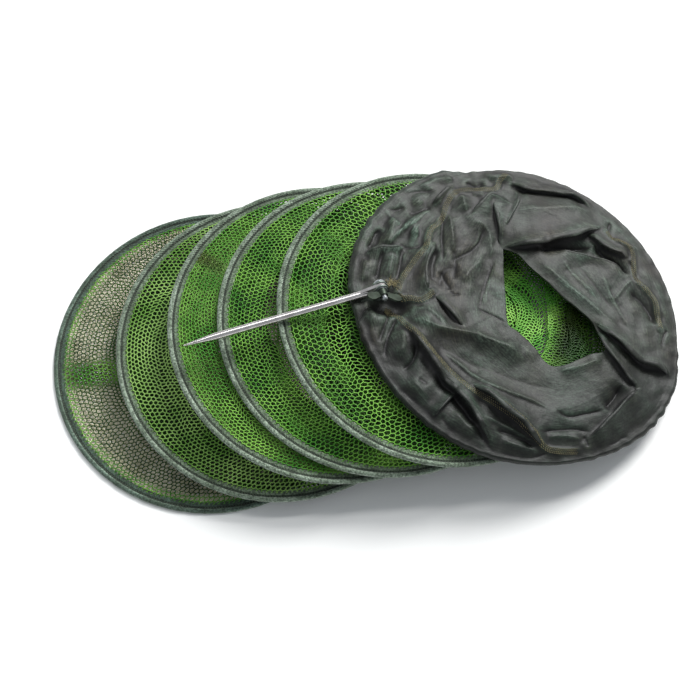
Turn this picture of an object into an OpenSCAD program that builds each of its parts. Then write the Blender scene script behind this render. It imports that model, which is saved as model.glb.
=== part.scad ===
// Folding fishing keepnet, lying collapsed with its hoops fanned out.
// Six wire hoops carry a knotless net tube. The mouth hoop wears a cloth collar, folded in,
// and a channel bracket that holds a swinging ground spike with a wing nut.
// Millimetres, +Z up, origin on the ground under the middle of the lying net.

/* [Hoops] */
// Diameter of a wire hoop, measured to the middle of its wire
hoop_d = 350; // [346:1:354]
// Thickness of the hoop wire
wire_d = 4; // [3:0.5:4]
// Direction in which the fanned hoops lean down, in degrees from +X
lean_az = 20; // [16:1:24]

/* [Tape] */
// Thickness of the woven tape that is folded round the wire
tape_t = 0.6; // [0.5:0.1:0.8]
// Width of the sewn flange inside the wire
flange_w = 7; // [6:0.5:8]
// Room between the two plies of the flange, where the net is sewn in
net_room = 1; // [0.8:0.1:1.2]

/* [Net] */
// Thickness of the netting solids
net_t = 0.7; // [0.6:0.1:0.8]
// Spacing of the mesh in the base net
mesh_pitch = 19; // [18:1:24]
// Width of the cords between the meshes of the base net
mesh_cord = 1.6; // [1.2:0.2:2]
// How far the slack net folds in under the next hoop
fold_in = 24; // [20:1:26]

/* [Collar] */
// Thickness of the cloth tube round the mouth hoop
casing_d = 9.2; // [8.4:0.2:9.6]
// Thickness of the collar cloth
cloth_t = 0.8; // [0.7:0.1:1]
// Length of the gap that the folded collar leaves in the mouth
gap_l = 168; // [150:2:176]
// Width of that gap
gap_w = 74; // [66:2:80]
// How high the folds of the collar stand
fold_h = 15; // [10:1:16]

/* [Spike] */
// Thickness of the spike
spike_d = 8; // [7:0.5:8]
// Length of the spike from its pivot to its tip
spike_l = 215; // [200:5:230]
// Length of the drawn point
point_l = 34; // [25:1:45]
// Thickness of the flattened eye
tongue_t = 4; // [3.6:0.1:4]
// Direction in which the spike lies, in degrees from +X
spike_az = 197.5; // [195:0.5:199]

/* [Bracket] */
// Thickness of the bracket's sheet steel
sheet_t = 1.6; // [1.4:0.1:1.8]
// Lean of the bracket away from upright
bracket_lean = 20; // [18:1:22]
// Thickness of the pivot bolt
bolt_d = 6; // [6:0.1:6.2]
// Span of the wing nut
wing_span = 40; // [36:1:42]

/* [Hidden] */
$fn = 96;

// Each hoop as it lies: centre x and y, height of its low side, and how steeply it leans.
HOOPS = [
    [-168, -19, 2.2, 0],
    [-96, -12, 9.5, 3],
    [-38, 1, 11.5, 8],
    [15, 7, 14.5, 8],
    [78, 15, 12.5, 11],
    [167, 20, 4.2, 12]
];
MOUTH = len(HOOPS) - 1;

hoop_r = hoop_d / 2;
wire_r = wire_d / 2;
bead_r = wire_r + tape_t;
wire_gap = 0.1;
flange_end = bead_r + flange_w;
casing_r = casing_d / 2;
base_foot = HOOPS[0][2];

// Hoop frames: the down-hill direction, the level direction across it and the hoop's normal.
function lean(k) = HOOPS[k][3];
function down_hill(k) = [cos(lean_az) * cos(lean(k)), sin(lean_az) * cos(lean(k)), -sin(lean(k))];
function level(k) = [-sin(lean_az), cos(lean_az), 0];
function upright(k) = [cos(lean_az) * sin(lean(k)), sin(lean_az) * sin(lean(k)), cos(lean(k))];
function centre(k) = [HOOPS[k][0], HOOPS[k][1], HOOPS[k][2] + hoop_r * sin(lean(k))];

// A point given by hoop k's own radius r, bearing a and height n above the hoop's plane.
function hoop_point(k, r, a, n) =
    centre(k) + r * cos(a - lean_az) * down_hill(k) + r * sin(a - lean_az) * level(k) + n * upright(k);
// The same point read back: radius, bearing and height in hoop k's frame.
function radius_at(k, p) = norm([(p - centre(k)) * down_hill(k), (p - centre(k)) * level(k)]);
function bearing_at(k, p) = lean_az + atan2((p - centre(k)) * level(k), (p - centre(k)) * down_hill(k));
function height_at(k, p) = (p - centre(k)) * upright(k);

module in_hoop_frame(k) {
    translate(centre(k))
        rotate([0, 0, lean_az])
            rotate([0, lean(k), 0])
                rotate([0, 0, -lean_az])
                    children();
}

// The bracket sits at this bearing on the mouth hoop. The net and the cloth give way round it:
// by_bracket is 1 at the bracket and falls to 0 over the given angle to either side.
bracket_bearing = 182;
function angle_off(a) = abs((a - bracket_bearing + 540) % 360 - 180);
function by_bracket(a, spread) = exp(-pow(angle_off(a) / spread, 4));

// A closed skin round a grid of points: rows run round the hoop and join up, columns run along it.
function unit(v) = v / norm(v);
function skin_normal(g, i, j) =
    let (n = len(g), m = len(g[0]))
    unit(cross(g[(i + 1) % n][j] - g[(i + n - 1) % n][j], g[i][min(j + 1, m - 1)] - g[i][max(j - 1, 0)]));
module skin(g, t) {
    n = len(g);
    m = len(g[0]);
    side = [for (s = [1, -1], i = [0:n - 1], j = [0:m - 1]) g[i][j] + s * t / 2 * skin_normal(g, i, j)];
    function id(s, i, j) = s * n * m + (i % n) * m + j;
    faces = [
        for (i = [0:n - 1], j = [0:m - 2], s = [0, 1])
            each let (
                a = id(s, i, j),
                b = id(s, i + 1, j),
                c = id(s, i + 1, j + 1),
                d = id(s, i, j + 1)
            ) s == 0 ? [[a, d, c], [a, c, b]] : [[a, c, d], [a, b, c]],
        for (i = [0:n - 1], e = [0, m - 1])
            each let (
                a = id(0, i, e),
                b = id(0, i + 1, e),
                c = id(1, i + 1, e),
                d = id(1, i, e)
            ) e == 0 ? [[a, b, c], [a, c, d]] : [[a, c, b], [a, d, c]]
    ];
    polyhedron(side, faces);
}

// ---------- hoops and their tape ----------

// A closed hoop of round wire.
module wire_hoop(k) {
    color("silver")
        in_hoop_frame(k)
            rotate_extrude()
                translate([hoop_r, 0])
                    circle(r = wire_r);
}

// The tape's cut: a bead folded round the wire and two plies, with room between them for the net.
module tape_cut(foot) {
    difference() {
        union() {
            circle(r = bead_r);
            translate([-flange_end, -net_room / 2 - tape_t])
                square([flange_end, net_room + 2 * tape_t]);
        }
        circle(r = wire_r + wire_gap);
        translate([-flange_end - 1, -net_room / 2])
            square([flange_end, net_room]);
        translate([-flange_end, -bead_r - foot])
            square([2 * flange_end, bead_r]);
    }
}

// The first tape lies on the ground, so its bead is pressed flat below.
module hoop_tape(k) {
    foot = k == 0 ? base_foot : bead_r;
    color("#7d917d")
        in_hoop_frame(k)
            rotate_extrude()
                translate([hoop_r, 0])
                    tape_cut(foot);
}

// ---------- netting ----------

// Flat net across the base hoop: a disc with hexagonal meshes, its rim held between the tape's plies.
module base_net() {
    rim_r = hoop_r - bead_r - 1.5;
    mesh_r = (mesh_pitch - mesh_cord) / sqrt(3);
    open_r = hoop_r - flange_end - mesh_pitch / 2 - mesh_cord;
    rows = ceil(rim_r / (mesh_pitch * sqrt(3) / 2));
    columns = ceil(rim_r / mesh_pitch) + 1;
    thick = net_room - 0.2;
    color("#4f8f3a")
        in_hoop_frame(0)
            translate([0, 0, -thick / 2])
                linear_extrude(thick)
                    difference() {
                        circle(r = rim_r);
                        for (i = [-columns:columns], j = [-rows:rows]) {
                            x = (i + (j % 2 == 0 ? 0 : 0.5)) * mesh_pitch;
                            y = j * mesh_pitch * sqrt(3) / 2;
                            if (norm([x, y]) < open_r)
                                translate([x, y])
                                    rotate(30)
                                        circle(r = mesh_r, $fn = 6);
                        }
                    }
}

// One slack length of the net tube, from hoop k up to the hoop lying on it. The net leaves the
// lower flange, folds in under the upper hoop and comes back out to the upper flange.
panel_rows = 48;
panel_fold = 4;
panel_columns = 2 * panel_fold;
flange_clear = 0.9;
plane_clear = 1.1;
fold_low = -6.1;
fold_high = -4.1;
bracket_dip = 6;
function net_edge(k) = hoop_r - (k == MOUTH ? casing_r : flange_end) - flange_clear;
function panel_start(k, a) = hoop_point(k, net_edge(k), a, plane_clear);
function panel_end(k, a) = hoop_point(k + 1, net_edge(k + 1), a, -plane_clear);
function panel_turn_r(k, a) =
    min(radius_at(k + 1, panel_start(k, a)), net_edge(k + 1)) - fold_in;
function panel_turn_a(k, a) =
    bearing_at(k + 1, (panel_start(k, a) + panel_end(k, a)) / 2);
function panel_turn(k, a, n, back) =
    hoop_point(k + 1, panel_turn_r(k, a) + back, panel_turn_a(k, a), n);
function along(p, q, u) = p + (q - p) * u;
function panel_point(k, a, j) =
    let (
        last = panel_fold - 1,
        u = j < panel_fold ? j / last : (j - panel_fold) / last,
        low = panel_turn(k, a, fold_low, 0.8),
        high = panel_turn(k, a, fold_high, 0.8),
        rise = (fold_high + plane_clear) * (pow(u, 3) - u),
        dip = k + 1 == MOUTH ? bracket_dip * by_bracket(a, 14) : 0
    )
    j < panel_fold
        ? along(panel_start(k, a), low, u) - dip * u * upright(k + 1)
        : along(high, panel_end(k, a), u) + (rise - dip) * upright(k + 1);

module net_panel(k) {
    grid = [
        for (i = [0:panel_rows - 1])
            [for (j = [0:panel_columns - 1]) panel_point(k, i * 360 / panel_rows, j)]
    ];
    color("#5a9a3c")
        skin(grid, net_t);
}

// ---------- collar ----------

// Half of the angle over which the cloth tube is cut away for the bracket.
casing_notch = 5;

// Cloth tube sewn round the mouth wire, open at the bracket and pressed flat on the ground.
module collar_casing() {
    color("#3c443c")
        difference() {
            in_hoop_frame(MOUTH)
                rotate([0, 0, bracket_bearing + casing_notch])
                    rotate_extrude(angle = 360 - 2 * casing_notch)
                        translate([hoop_r, 0])
                            difference() {
                                circle(r = casing_r);
                                circle(r = wire_r + wire_gap);
                            }
            translate([-hoop_d, -hoop_d, -20])
                cube([3 * hoop_d, 2 * hoop_d, 20]);
        }
}

// The collar folds in over the mouth and leaves a slanting oval gap, off the middle.
bracket_notch = 34;
collar_rows = 64;
collar_columns = 9;
gap_centre = [38, 10];
gap_slant = -47;
function gap_point(a) =
    gap_centre + [
        gap_l / 2 * cos(a - gap_slant) * cos(gap_slant) - gap_w / 2 * sin(a - gap_slant) * sin(gap_slant),
        gap_l / 2 * cos(a - gap_slant) * sin(gap_slant) + gap_w / 2 * sin(a - gap_slant) * cos(gap_slant)
    ];
// Folds run in from the hoop. They die out at both edges and lie flat round the bracket.
function collar_height(a, s) =
    let (
        beside = 1 - by_bracket(a, 18),
        folds = 0.62 + 0.24 * cos(5 * a + 120 * s) + 0.14 * cos(11 * a - 60)
    )
    1.6 + (fold_h * folds * pow(sin(180 * pow(s, 0.8)), 0.8) + 3 * s) * beside;
function collar_point(a, s) =
    let (
        edge_r = hoop_r - casing_r - 0.6 - bracket_notch * by_bracket(a, 11),
        edge = edge_r * [cos(a), sin(a)],
        p = edge + (gap_point(a) - edge) * s
    )
    hoop_point(MOUTH, norm(p), atan2(p[1], p[0]), collar_height(a, s));

module collar_cloth() {
    grid = [
        for (i = [0:collar_rows - 1])
            [for (j = [0:collar_columns - 1]) collar_point(i * 360 / collar_rows, j / (collar_columns - 1))]
    ];
    color("#2f352f")
        skin(grid, cloth_t);
}

// ---------- bracket and spike ----------

// The hinge's own frame: X out along the spike, Y down the bracket, Z along the bolt to its nut.
// The wire passes through the bracket at wire_at.
wire_at = [20, 11.5];
bracket_x = [cos(spike_az), sin(spike_az), 0];
bracket_y = [
    -sin(spike_az) * sin(bracket_lean),
    cos(spike_az) * sin(bracket_lean),
    -cos(bracket_lean)
];
pivot = hoop_point(MOUTH, hoop_r, bracket_bearing, 0) - wire_at[0] * bracket_x - wire_at[1] * bracket_y;

module at_pivot() {
    translate(pivot)
        rotate([0, 0, spike_az])
            rotate([bracket_lean - 90, 0, 0])
                children();
}

bolt_r = bolt_d / 2;
bore_r = bolt_r + 0.05;
eye_r = 7;
ear_gap = tongue_t + 0.4;
bracket_w = ear_gap + 2 * sheet_t;
lobe_r = 8;
arm_top = 5.2;
arm_bottom = 17.8;
arm_back = -8;
wire_hole_r = 3.9;
washer_t = 1;
washer_r = 6.4;
head_t = 4.6;
head_r = 7.5;
head_rim = 1.2;
nut_r = 5.6;
nut_h = 7;
wing_t = 2.2;
wing_turn = -27;
bolt_end = 17;

// Outline of one ear: a round lobe for the bolt over an arm that reaches down to the wire.
module ear_outline() {
    difference() {
        union() {
            circle(r = lobe_r);
            polygon([
                [arm_back, 0],
                [lobe_r, 0],
                [lobe_r + 2.5, arm_top],
                [wire_at[0] + 3, arm_top],
                [wire_at[0] + 6, arm_bottom],
                [arm_back + 4, arm_bottom]
            ]);
        }
        circle(r = bolt_r + 0.2);
        translate(wire_at)
            circle(r = wire_hole_r);
    }
}

// Channel bracket of bent sheet: two ears joined by a web along the bottom, with rounded bends.
module bracket() {
    bend_r = sheet_t + 0.6;
    color("#66766a")
        at_pivot()
            intersection() {
                translate([0, 0, -bracket_w / 2])
                    linear_extrude(bracket_w)
                        ear_outline();
                rotate([90, 0, 90])
                    translate([0, 0, -2 * lobe_r])
                        linear_extrude(80)
                            difference() {
                                union() {
                                    translate([-lobe_r, -bracket_w / 2])
                                        square([lobe_r + arm_bottom - bend_r, bracket_w]);
                                    translate([0, -bracket_w / 2 + bend_r])
                                        square([arm_bottom, bracket_w - 2 * bend_r]);
                                    for (s = [-1, 1])
                                        translate([arm_bottom - bend_r, s * (bracket_w / 2 - bend_r)])
                                            circle(r = bend_r);
                                }
                                translate([-lobe_r - 1, -ear_gap / 2])
                                    square([lobe_r + 1 + arm_bottom - sheet_t, ear_gap]);
                            }
            }
}

// Round head bolt: a domed head over a short rim, and a chamfered end.
module pivot_bolt() {
    dome_h = head_t - head_rim;
    color("gainsboro")
        at_pivot() {
            head_z = -bracket_w / 2 - washer_t - head_t;
            translate([0, 0, head_z])
                rotate_extrude()
                    polygon([
                        for (u = [0:15:90]) [head_r * sin(u), dome_h * (1 - cos(u))],
                        [head_r, head_t],
                        [0, head_t]
                    ]);
            translate([0, 0, head_z + head_t])
                cylinder(r = bolt_r, h = bolt_end - 1 - head_z - head_t);
            translate([0, 0, bolt_end - 1])
                cylinder(r1 = bolt_r, r2 = bolt_r - 1, h = 1);
        }
}

// One flat washer under the bolt's head and one under the wing nut.
module washers() {
    color("silver")
        at_pivot()
            for (z = [-bracket_w / 2 - washer_t, bracket_w / 2])
                translate([0, 0, z])
                    difference() {
                        cylinder(r = washer_r, h = washer_t);
                        translate([0, 0, -1])
                            cylinder(r = bolt_r + 0.2, h = washer_t + 2);
                    }
}

// Wing nut: a coned hub and two broad pressed wings that rise outwards, each with a round tip.
module wing_nut() {
    tip_r = 5.5;
    tip_x = wing_span / 2 - tip_r;
    tip_z = 8;
    color("gainsboro")
        at_pivot()
            translate([0, 0, bracket_w / 2 + washer_t + 0.1])
                rotate([0, 0, wing_turn])
                    difference() {
                        union() {
                            cylinder(r1 = nut_r, r2 = nut_r - 1, h = nut_h);
                            for (turn = [0, 180])
                                rotate([0, 0, turn])
                                    rotate([90, 0, 0])
                                        translate([0, 0, -wing_t / 2])
                                            linear_extrude(wing_t) {
                                                polygon([
                                                    [0, 0.6],
                                                    [nut_r, 0.6],
                                                    [tip_x + 4, tip_z - 3.8],
                                                    [tip_x - 2.6, tip_z + 4.8],
                                                    [nut_r, nut_h + 2],
                                                    [0, nut_h - 1]
                                                ]);
                                                translate([tip_x, tip_z])
                                                    circle(r = tip_r);
                                            }
                        }
                        translate([0, 0, -1])
                            cylinder(r = bore_r, h = 20);
                    }
}

// Ground spike: a flattened eye, a round shank and a long drawn point.
module spike() {
    rod_r = spike_d / 2;
    shank_x = 16;
    tip_r = 0.7;
    color("lightgray")
        at_pivot()
            difference() {
                union() {
                    translate([0, 0, -tongue_t / 2])
                        linear_extrude(tongue_t) {
                            circle(r = eye_r);
                            polygon([
                                [0, -eye_r],
                                [shank_x + 8, -rod_r + 0.4],
                                [shank_x + 8, rod_r - 0.4],
                                [0, eye_r]
                            ]);
                        }
                    translate([shank_x - 5, 0, 0])
                        rotate([0, 90, 0])
                            cylinder(r1 = tongue_t / 2, r2 = rod_r, h = 5);
                    translate([shank_x, 0, 0])
                        rotate([0, 90, 0])
                            cylinder(r = rod_r, h = spike_l - point_l - shank_x);
                    translate([spike_l - point_l, 0, 0])
                        rotate([0, 90, 0])
                            cylinder(r1 = rod_r, r2 = tip_r, h = point_l - tip_r);
                    translate([spike_l - tip_r, 0, 0])
                        sphere(r = tip_r);
                }
                translate([0, 0, -tongue_t])
                    cylinder(r = bore_r, h = 2 * tongue_t);
            }
}

wire_hoop(0);  // base_hoop
wire_hoop(1);  // hoop_2
wire_hoop(2);  // hoop_3
wire_hoop(3);  // hoop_4
wire_hoop(4);  // hoop_5
wire_hoop(MOUTH);  // mouth_hoop
hoop_tape(0);  // tape_1
hoop_tape(1);  // tape_2
hoop_tape(2);  // tape_3
hoop_tape(3);  // tape_4
hoop_tape(4);  // tape_5
base_net();
net_panel(0);  // net_panel_1
net_panel(1);  // net_panel_2
net_panel(2);  // net_panel_3
net_panel(3);  // net_panel_4
net_panel(4);  // net_panel_5
collar_casing();
collar_cloth();
bracket();
pivot_bolt();
washers();
wing_nut();
spike();
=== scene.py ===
import math

import bpy
import numpy as np
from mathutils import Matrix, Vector


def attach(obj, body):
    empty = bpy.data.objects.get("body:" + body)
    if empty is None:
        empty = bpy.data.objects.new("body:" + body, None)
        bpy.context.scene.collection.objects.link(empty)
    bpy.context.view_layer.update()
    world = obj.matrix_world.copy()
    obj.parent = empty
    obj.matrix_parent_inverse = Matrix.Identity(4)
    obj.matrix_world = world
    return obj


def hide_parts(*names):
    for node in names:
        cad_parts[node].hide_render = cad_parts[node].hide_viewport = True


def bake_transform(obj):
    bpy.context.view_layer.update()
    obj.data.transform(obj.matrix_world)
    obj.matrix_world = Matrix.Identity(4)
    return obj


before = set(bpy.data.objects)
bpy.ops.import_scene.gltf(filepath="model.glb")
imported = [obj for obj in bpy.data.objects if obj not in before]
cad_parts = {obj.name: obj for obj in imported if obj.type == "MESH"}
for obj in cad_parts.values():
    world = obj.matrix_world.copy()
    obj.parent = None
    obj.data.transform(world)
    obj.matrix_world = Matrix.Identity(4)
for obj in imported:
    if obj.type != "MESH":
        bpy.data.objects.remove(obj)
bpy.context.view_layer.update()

# Shapes are worked out in millimetres and put into the meshes in metres.
MM = 0.001

# ---------------------------------------------------------------- the hoops as they lie

# Centre x and y, height of the low side, and lean in degrees: the part's own figures.
HOOPS = np.array([
    [-168.0, -19.0, 2.2, 0.0],
    [-96.0, -12.0, 9.5, 3.0],
    [-38.0, 1.0, 11.5, 8.0],
    [15.0, 7.0, 14.5, 8.0],
    [78.0, 15.0, 12.5, 11.0],
    [167.0, 20.0, 4.2, 12.0],
])
MOUTH = len(HOOPS) - 1
LEAN_AZ = 20.0
# The radius and length of a wire's centre line, the radii of the bead of tape round it and of the
# casing round the mouth's wire, and how far inside the wire the tape's flange ends.
HOOP_R = 175.0
HOOP_ROUND = 2 * math.pi * HOOP_R
BEAD_R = 2.6
CASING_R = 4.6
FLANGE_END = 9.6
BODIES = ["base", "second", "third", "fourth", "fifth", "mouth"]


def turn(degrees):
    """Cosine and sine of an angle in degrees."""
    return np.cos(np.radians(degrees)), np.sin(np.radians(degrees))


def hoop_frame(k):
    """Hoop k's centre and its three directions: down the lean, level across it, and its normal."""
    x, y, low, lean = HOOPS[k]
    (c, s), (cl, sl) = turn(LEAN_AZ), turn(lean)
    centre = np.array([x, y, low + HOOP_R * sl])
    return centre, np.array([c * cl, s * cl, -sl]), np.array([-s, c, 0.0]), np.array([c * sl, s * sl, cl])


def hoop_point(k, r, a, n):
    """Centre plus radius r at bearing a in the hoop's plane plus height n along its normal."""
    centre, down, level, up = hoop_frame(k)
    c, s = turn(np.asarray(a) - LEAN_AZ)
    r, n = np.asarray(r), np.asarray(n)
    return centre + (r * c)[..., None] * down + (r * s)[..., None] * level + n[..., None] * up


def unit(vectors):
    """The vectors shortened or stretched to length 1."""
    return vectors / np.maximum(np.linalg.norm(vectors, axis=-1, keepdims=True), 1e-6)


def polar(place):
    """Radius and bearing in degrees of places in a plane."""
    x, y = place[..., 0], place[..., 1]
    return np.hypot(x, y), np.degrees(np.arctan2(y, x))


def distances(points):
    """How far along a line of points each of them lies."""
    return np.concatenate([[0], np.cumsum(np.linalg.norm(np.diff(points, axis=0), axis=1))])


# The root of the sum of the waves' squared sizes, times this, is about as high as they peak together.
RIPPLE_PEAK = 1.4


def ripple(a, seed, low, high, count=6):
    """Sum of cosines round the hoop, with whole numbers of waves from low to high, about -1 to 1."""
    rng = np.random.default_rng(seed)
    waves, phases = rng.integers(low, high + 1, count), rng.uniform(0, 360, count)
    sizes = rng.uniform(0.5, 1.0, count)
    total = sum(z * np.cos(np.radians(w * a + p)) for w, p, z in zip(waves, phases, sizes))
    return total / np.sqrt((sizes**2).sum()) / RIPPLE_PEAK


def ease(t):
    """Smooth step: 0 below 0, 1 above 1, and t*t*(3 - 2t) between."""
    t = np.clip(t, 0, 1)
    return t * t * (3 - 2 * t)


def patch(*shares):
    """1 in the middle of a patch, falling to 0 round its edge, where a share is 1: e to the power of
    minus the sum of the shares' fourth powers."""
    return np.exp(-sum(share**4 for share in shares))


def band(place, middle, half_long, half_wide, bearing):
    """A patch with a half length and a half width, turned so that its length runs at a bearing."""
    x, y = (place - np.array(middle)).T
    c, s = turn(bearing)
    return patch((x * c + y * s) / half_long, (y * c - x * s) / half_wide)


def swell(place, seed, size, count=14):
    """Sum of cosine waves of random directions with lengths near size: soft hollows, about -1 to 1."""
    rng = np.random.default_rng(seed)
    total = 0
    for _ in range(count):
        direction = rng.uniform(0, 2 * math.pi)
        wave = 2 * math.pi / (size * rng.uniform(0.6, 1.7))
        total = total + np.cos(
            (place[:, 0] * math.cos(direction) + place[:, 1] * math.sin(direction)) * wave
            + rng.uniform(0, 2 * math.pi)
        )
    return total / math.sqrt(count)


# ---------------------------------------------------------------- meshes

def add_piece(name, points, faces, material, uv=None, smooth=True, marks=None):
    """A mesh object from points in mm, faces with equal numbers of corners, and corner UVs in mm.
    Marks are named numbers, one for each point, that a material reads."""
    mesh = bpy.data.meshes.new(name)
    count, sides = faces.shape
    mesh.vertices.add(len(points))
    mesh.vertices.foreach_set("co", (points * MM).astype(np.float32).ravel())
    mesh.loops.add(count * sides)
    mesh.loops.foreach_set("vertex_index", faces.astype(np.int32).ravel())
    mesh.polygons.add(count)
    mesh.polygons.foreach_set("loop_start", np.arange(0, count * sides, sides, dtype=np.int32))
    mesh.update(calc_edges=True)
    mesh.polygons.foreach_set("use_smooth", np.full(count, smooth))
    if uv is not None:
        layer = mesh.uv_layers.new(name="UVMap")
        layer.data.foreach_set("uv", uv.astype(np.float32).reshape(-1, 2).ravel())
    for mark, values in (marks or {}).items():
        mesh.attributes.new(mark, "FLOAT", "POINT").data.foreach_set("value", values.astype(np.float32))
    mesh.validate()
    mesh.materials.append(material)
    piece = bpy.data.objects.new(name, mesh)
    bpy.context.scene.collection.objects.link(piece)
    return piece


def grid_faces(rows, columns, closed_rows=False, closed_columns=False):
    """Quads over a grid of points stored row by row, and each corner's row and column unwrapped."""
    i, j = np.meshgrid(
        np.arange(rows - (not closed_rows)), np.arange(columns - (not closed_columns)), indexing="ij"
    )
    ci = np.stack([i, i + 1, i + 1, i], -1).reshape(-1, 4)
    cj = np.stack([j, j, j + 1, j + 1], -1).reshape(-1, 4)
    return (ci % rows) * columns + cj % columns, np.stack([ci, cj], -1)


def outward(points, faces):
    """The faces, turned round if the closed shape they make has a negative volume."""
    a = points[faces[:, 0]]
    volume = sum(
        np.einsum("ij,ij->i", a, np.cross(points[faces[:, n]], points[faces[:, n + 1]])).sum()
        for n in range(1, faces.shape[1] - 1)
    )
    return faces if volume > 0 else faces[:, ::-1]


# ---------------------------------------------------------------- materials

def colour(hex_text):
    """An sRGB hex colour as linear RGBA."""
    srgb = np.array([int(hex_text[n:n + 2], 16) for n in (1, 3, 5)]) / 255
    linear = np.where(srgb <= 0.04045, srgb / 12.92, ((srgb + 0.055) / 1.055) ** 2.4)
    return (*linear.tolist(), 1.0)


NOISE, WAVE, RAMP, MIX = "ShaderNodeTexNoise", "ShaderNodeTexWave", "ShaderNodeValToRGB", "ShaderNodeMix"
BUMP, COORDINATES, MARK = "ShaderNodeBump", "ShaderNodeTexCoord", "ShaderNodeAttribute"
MULTIPLY = {"data_type": "RGBA", "blend_type": "MULTIPLY"}


def per_metre(mm):
    """The scale, in waves to the metre, of a pattern whose patches are that many millimetres wide."""
    return 1 / (mm * MM)


def add_node(tree, kind, settings=None, inputs=None, stops=()):
    """A node with its settings, and each named input set to a value, or linked to a socket or to a
    node's first output. Stops are a colour ramp's: each a position and a hex colour."""
    node = tree.nodes.new(kind)
    for key, value in (settings or {}).items():
        setattr(node, key, value)
    for key, value in (inputs or {}).items():
        if isinstance(value, bpy.types.Node):
            value = next(out for out in value.outputs if out.enabled)
        if isinstance(value, bpy.types.NodeSocket):
            tree.links.new(value, node.inputs[key])
        else:
            node.inputs[key].default_value = value
    for n, (position, hex_text) in enumerate(stops):
        elements = node.color_ramp.elements
        element = elements[n] if n < len(elements) else elements.new(position)
        element.position, element.color = position, colour(hex_text)
    return node


def new_material(name, constants=None):
    """A material whose shader has those constant values. Returns the material, its tree and shader."""
    material = bpy.data.materials.new(name)
    material.use_nodes = True
    tree = material.node_tree
    tree.nodes.clear()
    shader = add_node(tree, "ShaderNodeBsdfPrincipled", inputs=constants)
    add_node(tree, "ShaderNodeOutputMaterial", inputs={"Surface": shader})
    return material, tree, shader


def net_thread(name, side, dull, bright):
    """Knotless polyethylene netting twine, extruded and twisted: lengths that are more and less bleached,
    with a painted highlight along the top of each strand and painted shade down its sides. Marks tell
    where it lies under other lengths, which is painted in shade, and where it is stained."""
    material, tree, shader = new_material(name, {"Roughness": 0.42, "Specular IOR Level": 0.18})
    place = add_node(tree, COORDINATES).outputs["Object"]
    patches = add_node(tree, NOISE, {}, {"Vector": place, "Scale": per_metre(41.7), "Detail": 3.0})
    tint = add_node(tree, RAMP, {}, {"Fac": patches}, [(0.35, dull), (0.65, bright)])
    # Painted light: each strand runs from the side colour, painted shade, to full colour along its ridge;
    # lengths under others are painted darker, as shade; stains tint it.
    for mark, stops in (
        ("ridge", [(0.0, side), (0.5, "#ffffff")]),
        ("under", [(0.0, "#ffffff"), (0.25, "#c9d6bd"), (1.0, "#4a6138")]),
        ("stain", [(0.0, "#ffffff"), (1.0, "#a8797c")]),
    ):
        value = add_node(tree, MARK, {"attribute_name": mark}).outputs["Fac"]
        shade = add_node(tree, RAMP, {}, {"Fac": value}, stops)
        tint = add_node(tree, MIX, MULTIPLY, {"Factor": 1.0, "A": tint, "B": shade})
    tree.links.new(tint.outputs["Result"], shader.inputs["Base Color"])
    return material


# Ribs every 1.6 mm along the tape: twice the real spacing, so that they show. A wave texture turns by
# 20 radians for each unit of its scale.
RIB_STEP = 1.6
WAVE_TURNS = 20


def woven_tape(name, tones):
    """Polypropylene tape woven in a fine rib and folded round the wire: matt grey green. Its tones are
    bands across the tape: paler along the bead's top, with wear and a painted highlight, and along the
    flange's edge with wear; darker under the bead and the flange, and in the sewn groove, as painted shade."""
    material, tree, shader = new_material(name, {"Roughness": 0.8, "Sheen Weight": 0.15})
    uv = add_node(tree, COORDINATES).outputs["UV"]
    place = add_node(tree, COORDINATES).outputs["Object"]
    across = add_node(tree, "ShaderNodeSeparateXYZ", {}, {"Vector": uv}).outputs["Y"]
    share = add_node(tree, "ShaderNodeMath", {"operation": "DIVIDE"}, {0: across, 1: TAPE_ROUND})
    bands = [(at / TAPE_ROUND, hex_text) for at, hex_text in tones]
    tint = add_node(tree, RAMP, {}, {"Fac": share}, bands)
    # Specks of 2 mm where the weave is worn, and stains of 20 mm.
    for size, low, high, dark in ((2.08, 0.38, 0.62, "#858c82"), (22.2, 0.35, 0.6, "#b9c0b4")):
        patches = add_node(tree, NOISE, {}, {"Vector": place, "Scale": per_metre(size), "Detail": 3.0})
        shade = add_node(tree, RAMP, {}, {"Fac": patches}, [(low, dark), (high, "#ffffff")])
        tint = add_node(tree, MIX, MULTIPLY, {"Factor": 1.0, "A": tint, "B": shade})
    tree.links.new(tint.outputs["Result"], shader.inputs["Base Color"])
    ribs = add_node(
        tree, WAVE, {"bands_direction": "DIAGONAL"},
        {
            "Vector": uv, "Scale": 2 * math.pi / RIB_STEP / WAVE_TURNS, "Distortion": 1.5,
            "Detail": 2.0, "Detail Scale": 2.0,
        },
    )
    bump = add_node(
        tree, BUMP, {}, {"Strength": 0.8, "Distance": 0.4 * MM, "Height": ribs.outputs["Fac"]}
    )
    tree.links.new(bump.outputs["Normal"], shader.inputs["Normal"])
    return material


def plain_thread(name, dark, light):
    """Spun polyester sewing thread: matt, a little faded here and there."""
    material, tree, shader = new_material(name, {"Roughness": 0.75})
    place = add_node(tree, COORDINATES).outputs["Object"]
    patches = add_node(tree, NOISE, {}, {"Vector": place, "Scale": per_metre(6.25), "Detail": 3.0})
    tint = add_node(tree, RAMP, {}, {"Fac": patches}, [(0.35, dark), (0.65, light)])
    tree.links.new(tint.outputs["Color"], shader.inputs["Base Color"])
    return material


# The cloth's threads: their spacing, how long each shows, and their angle to the band that the collar
# was cut from. Real ones are a tenth as wide and don't show.
THREAD_STEP = 1.43
THREAD_LONG = 16.7
THREAD_BIAS = 12


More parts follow.
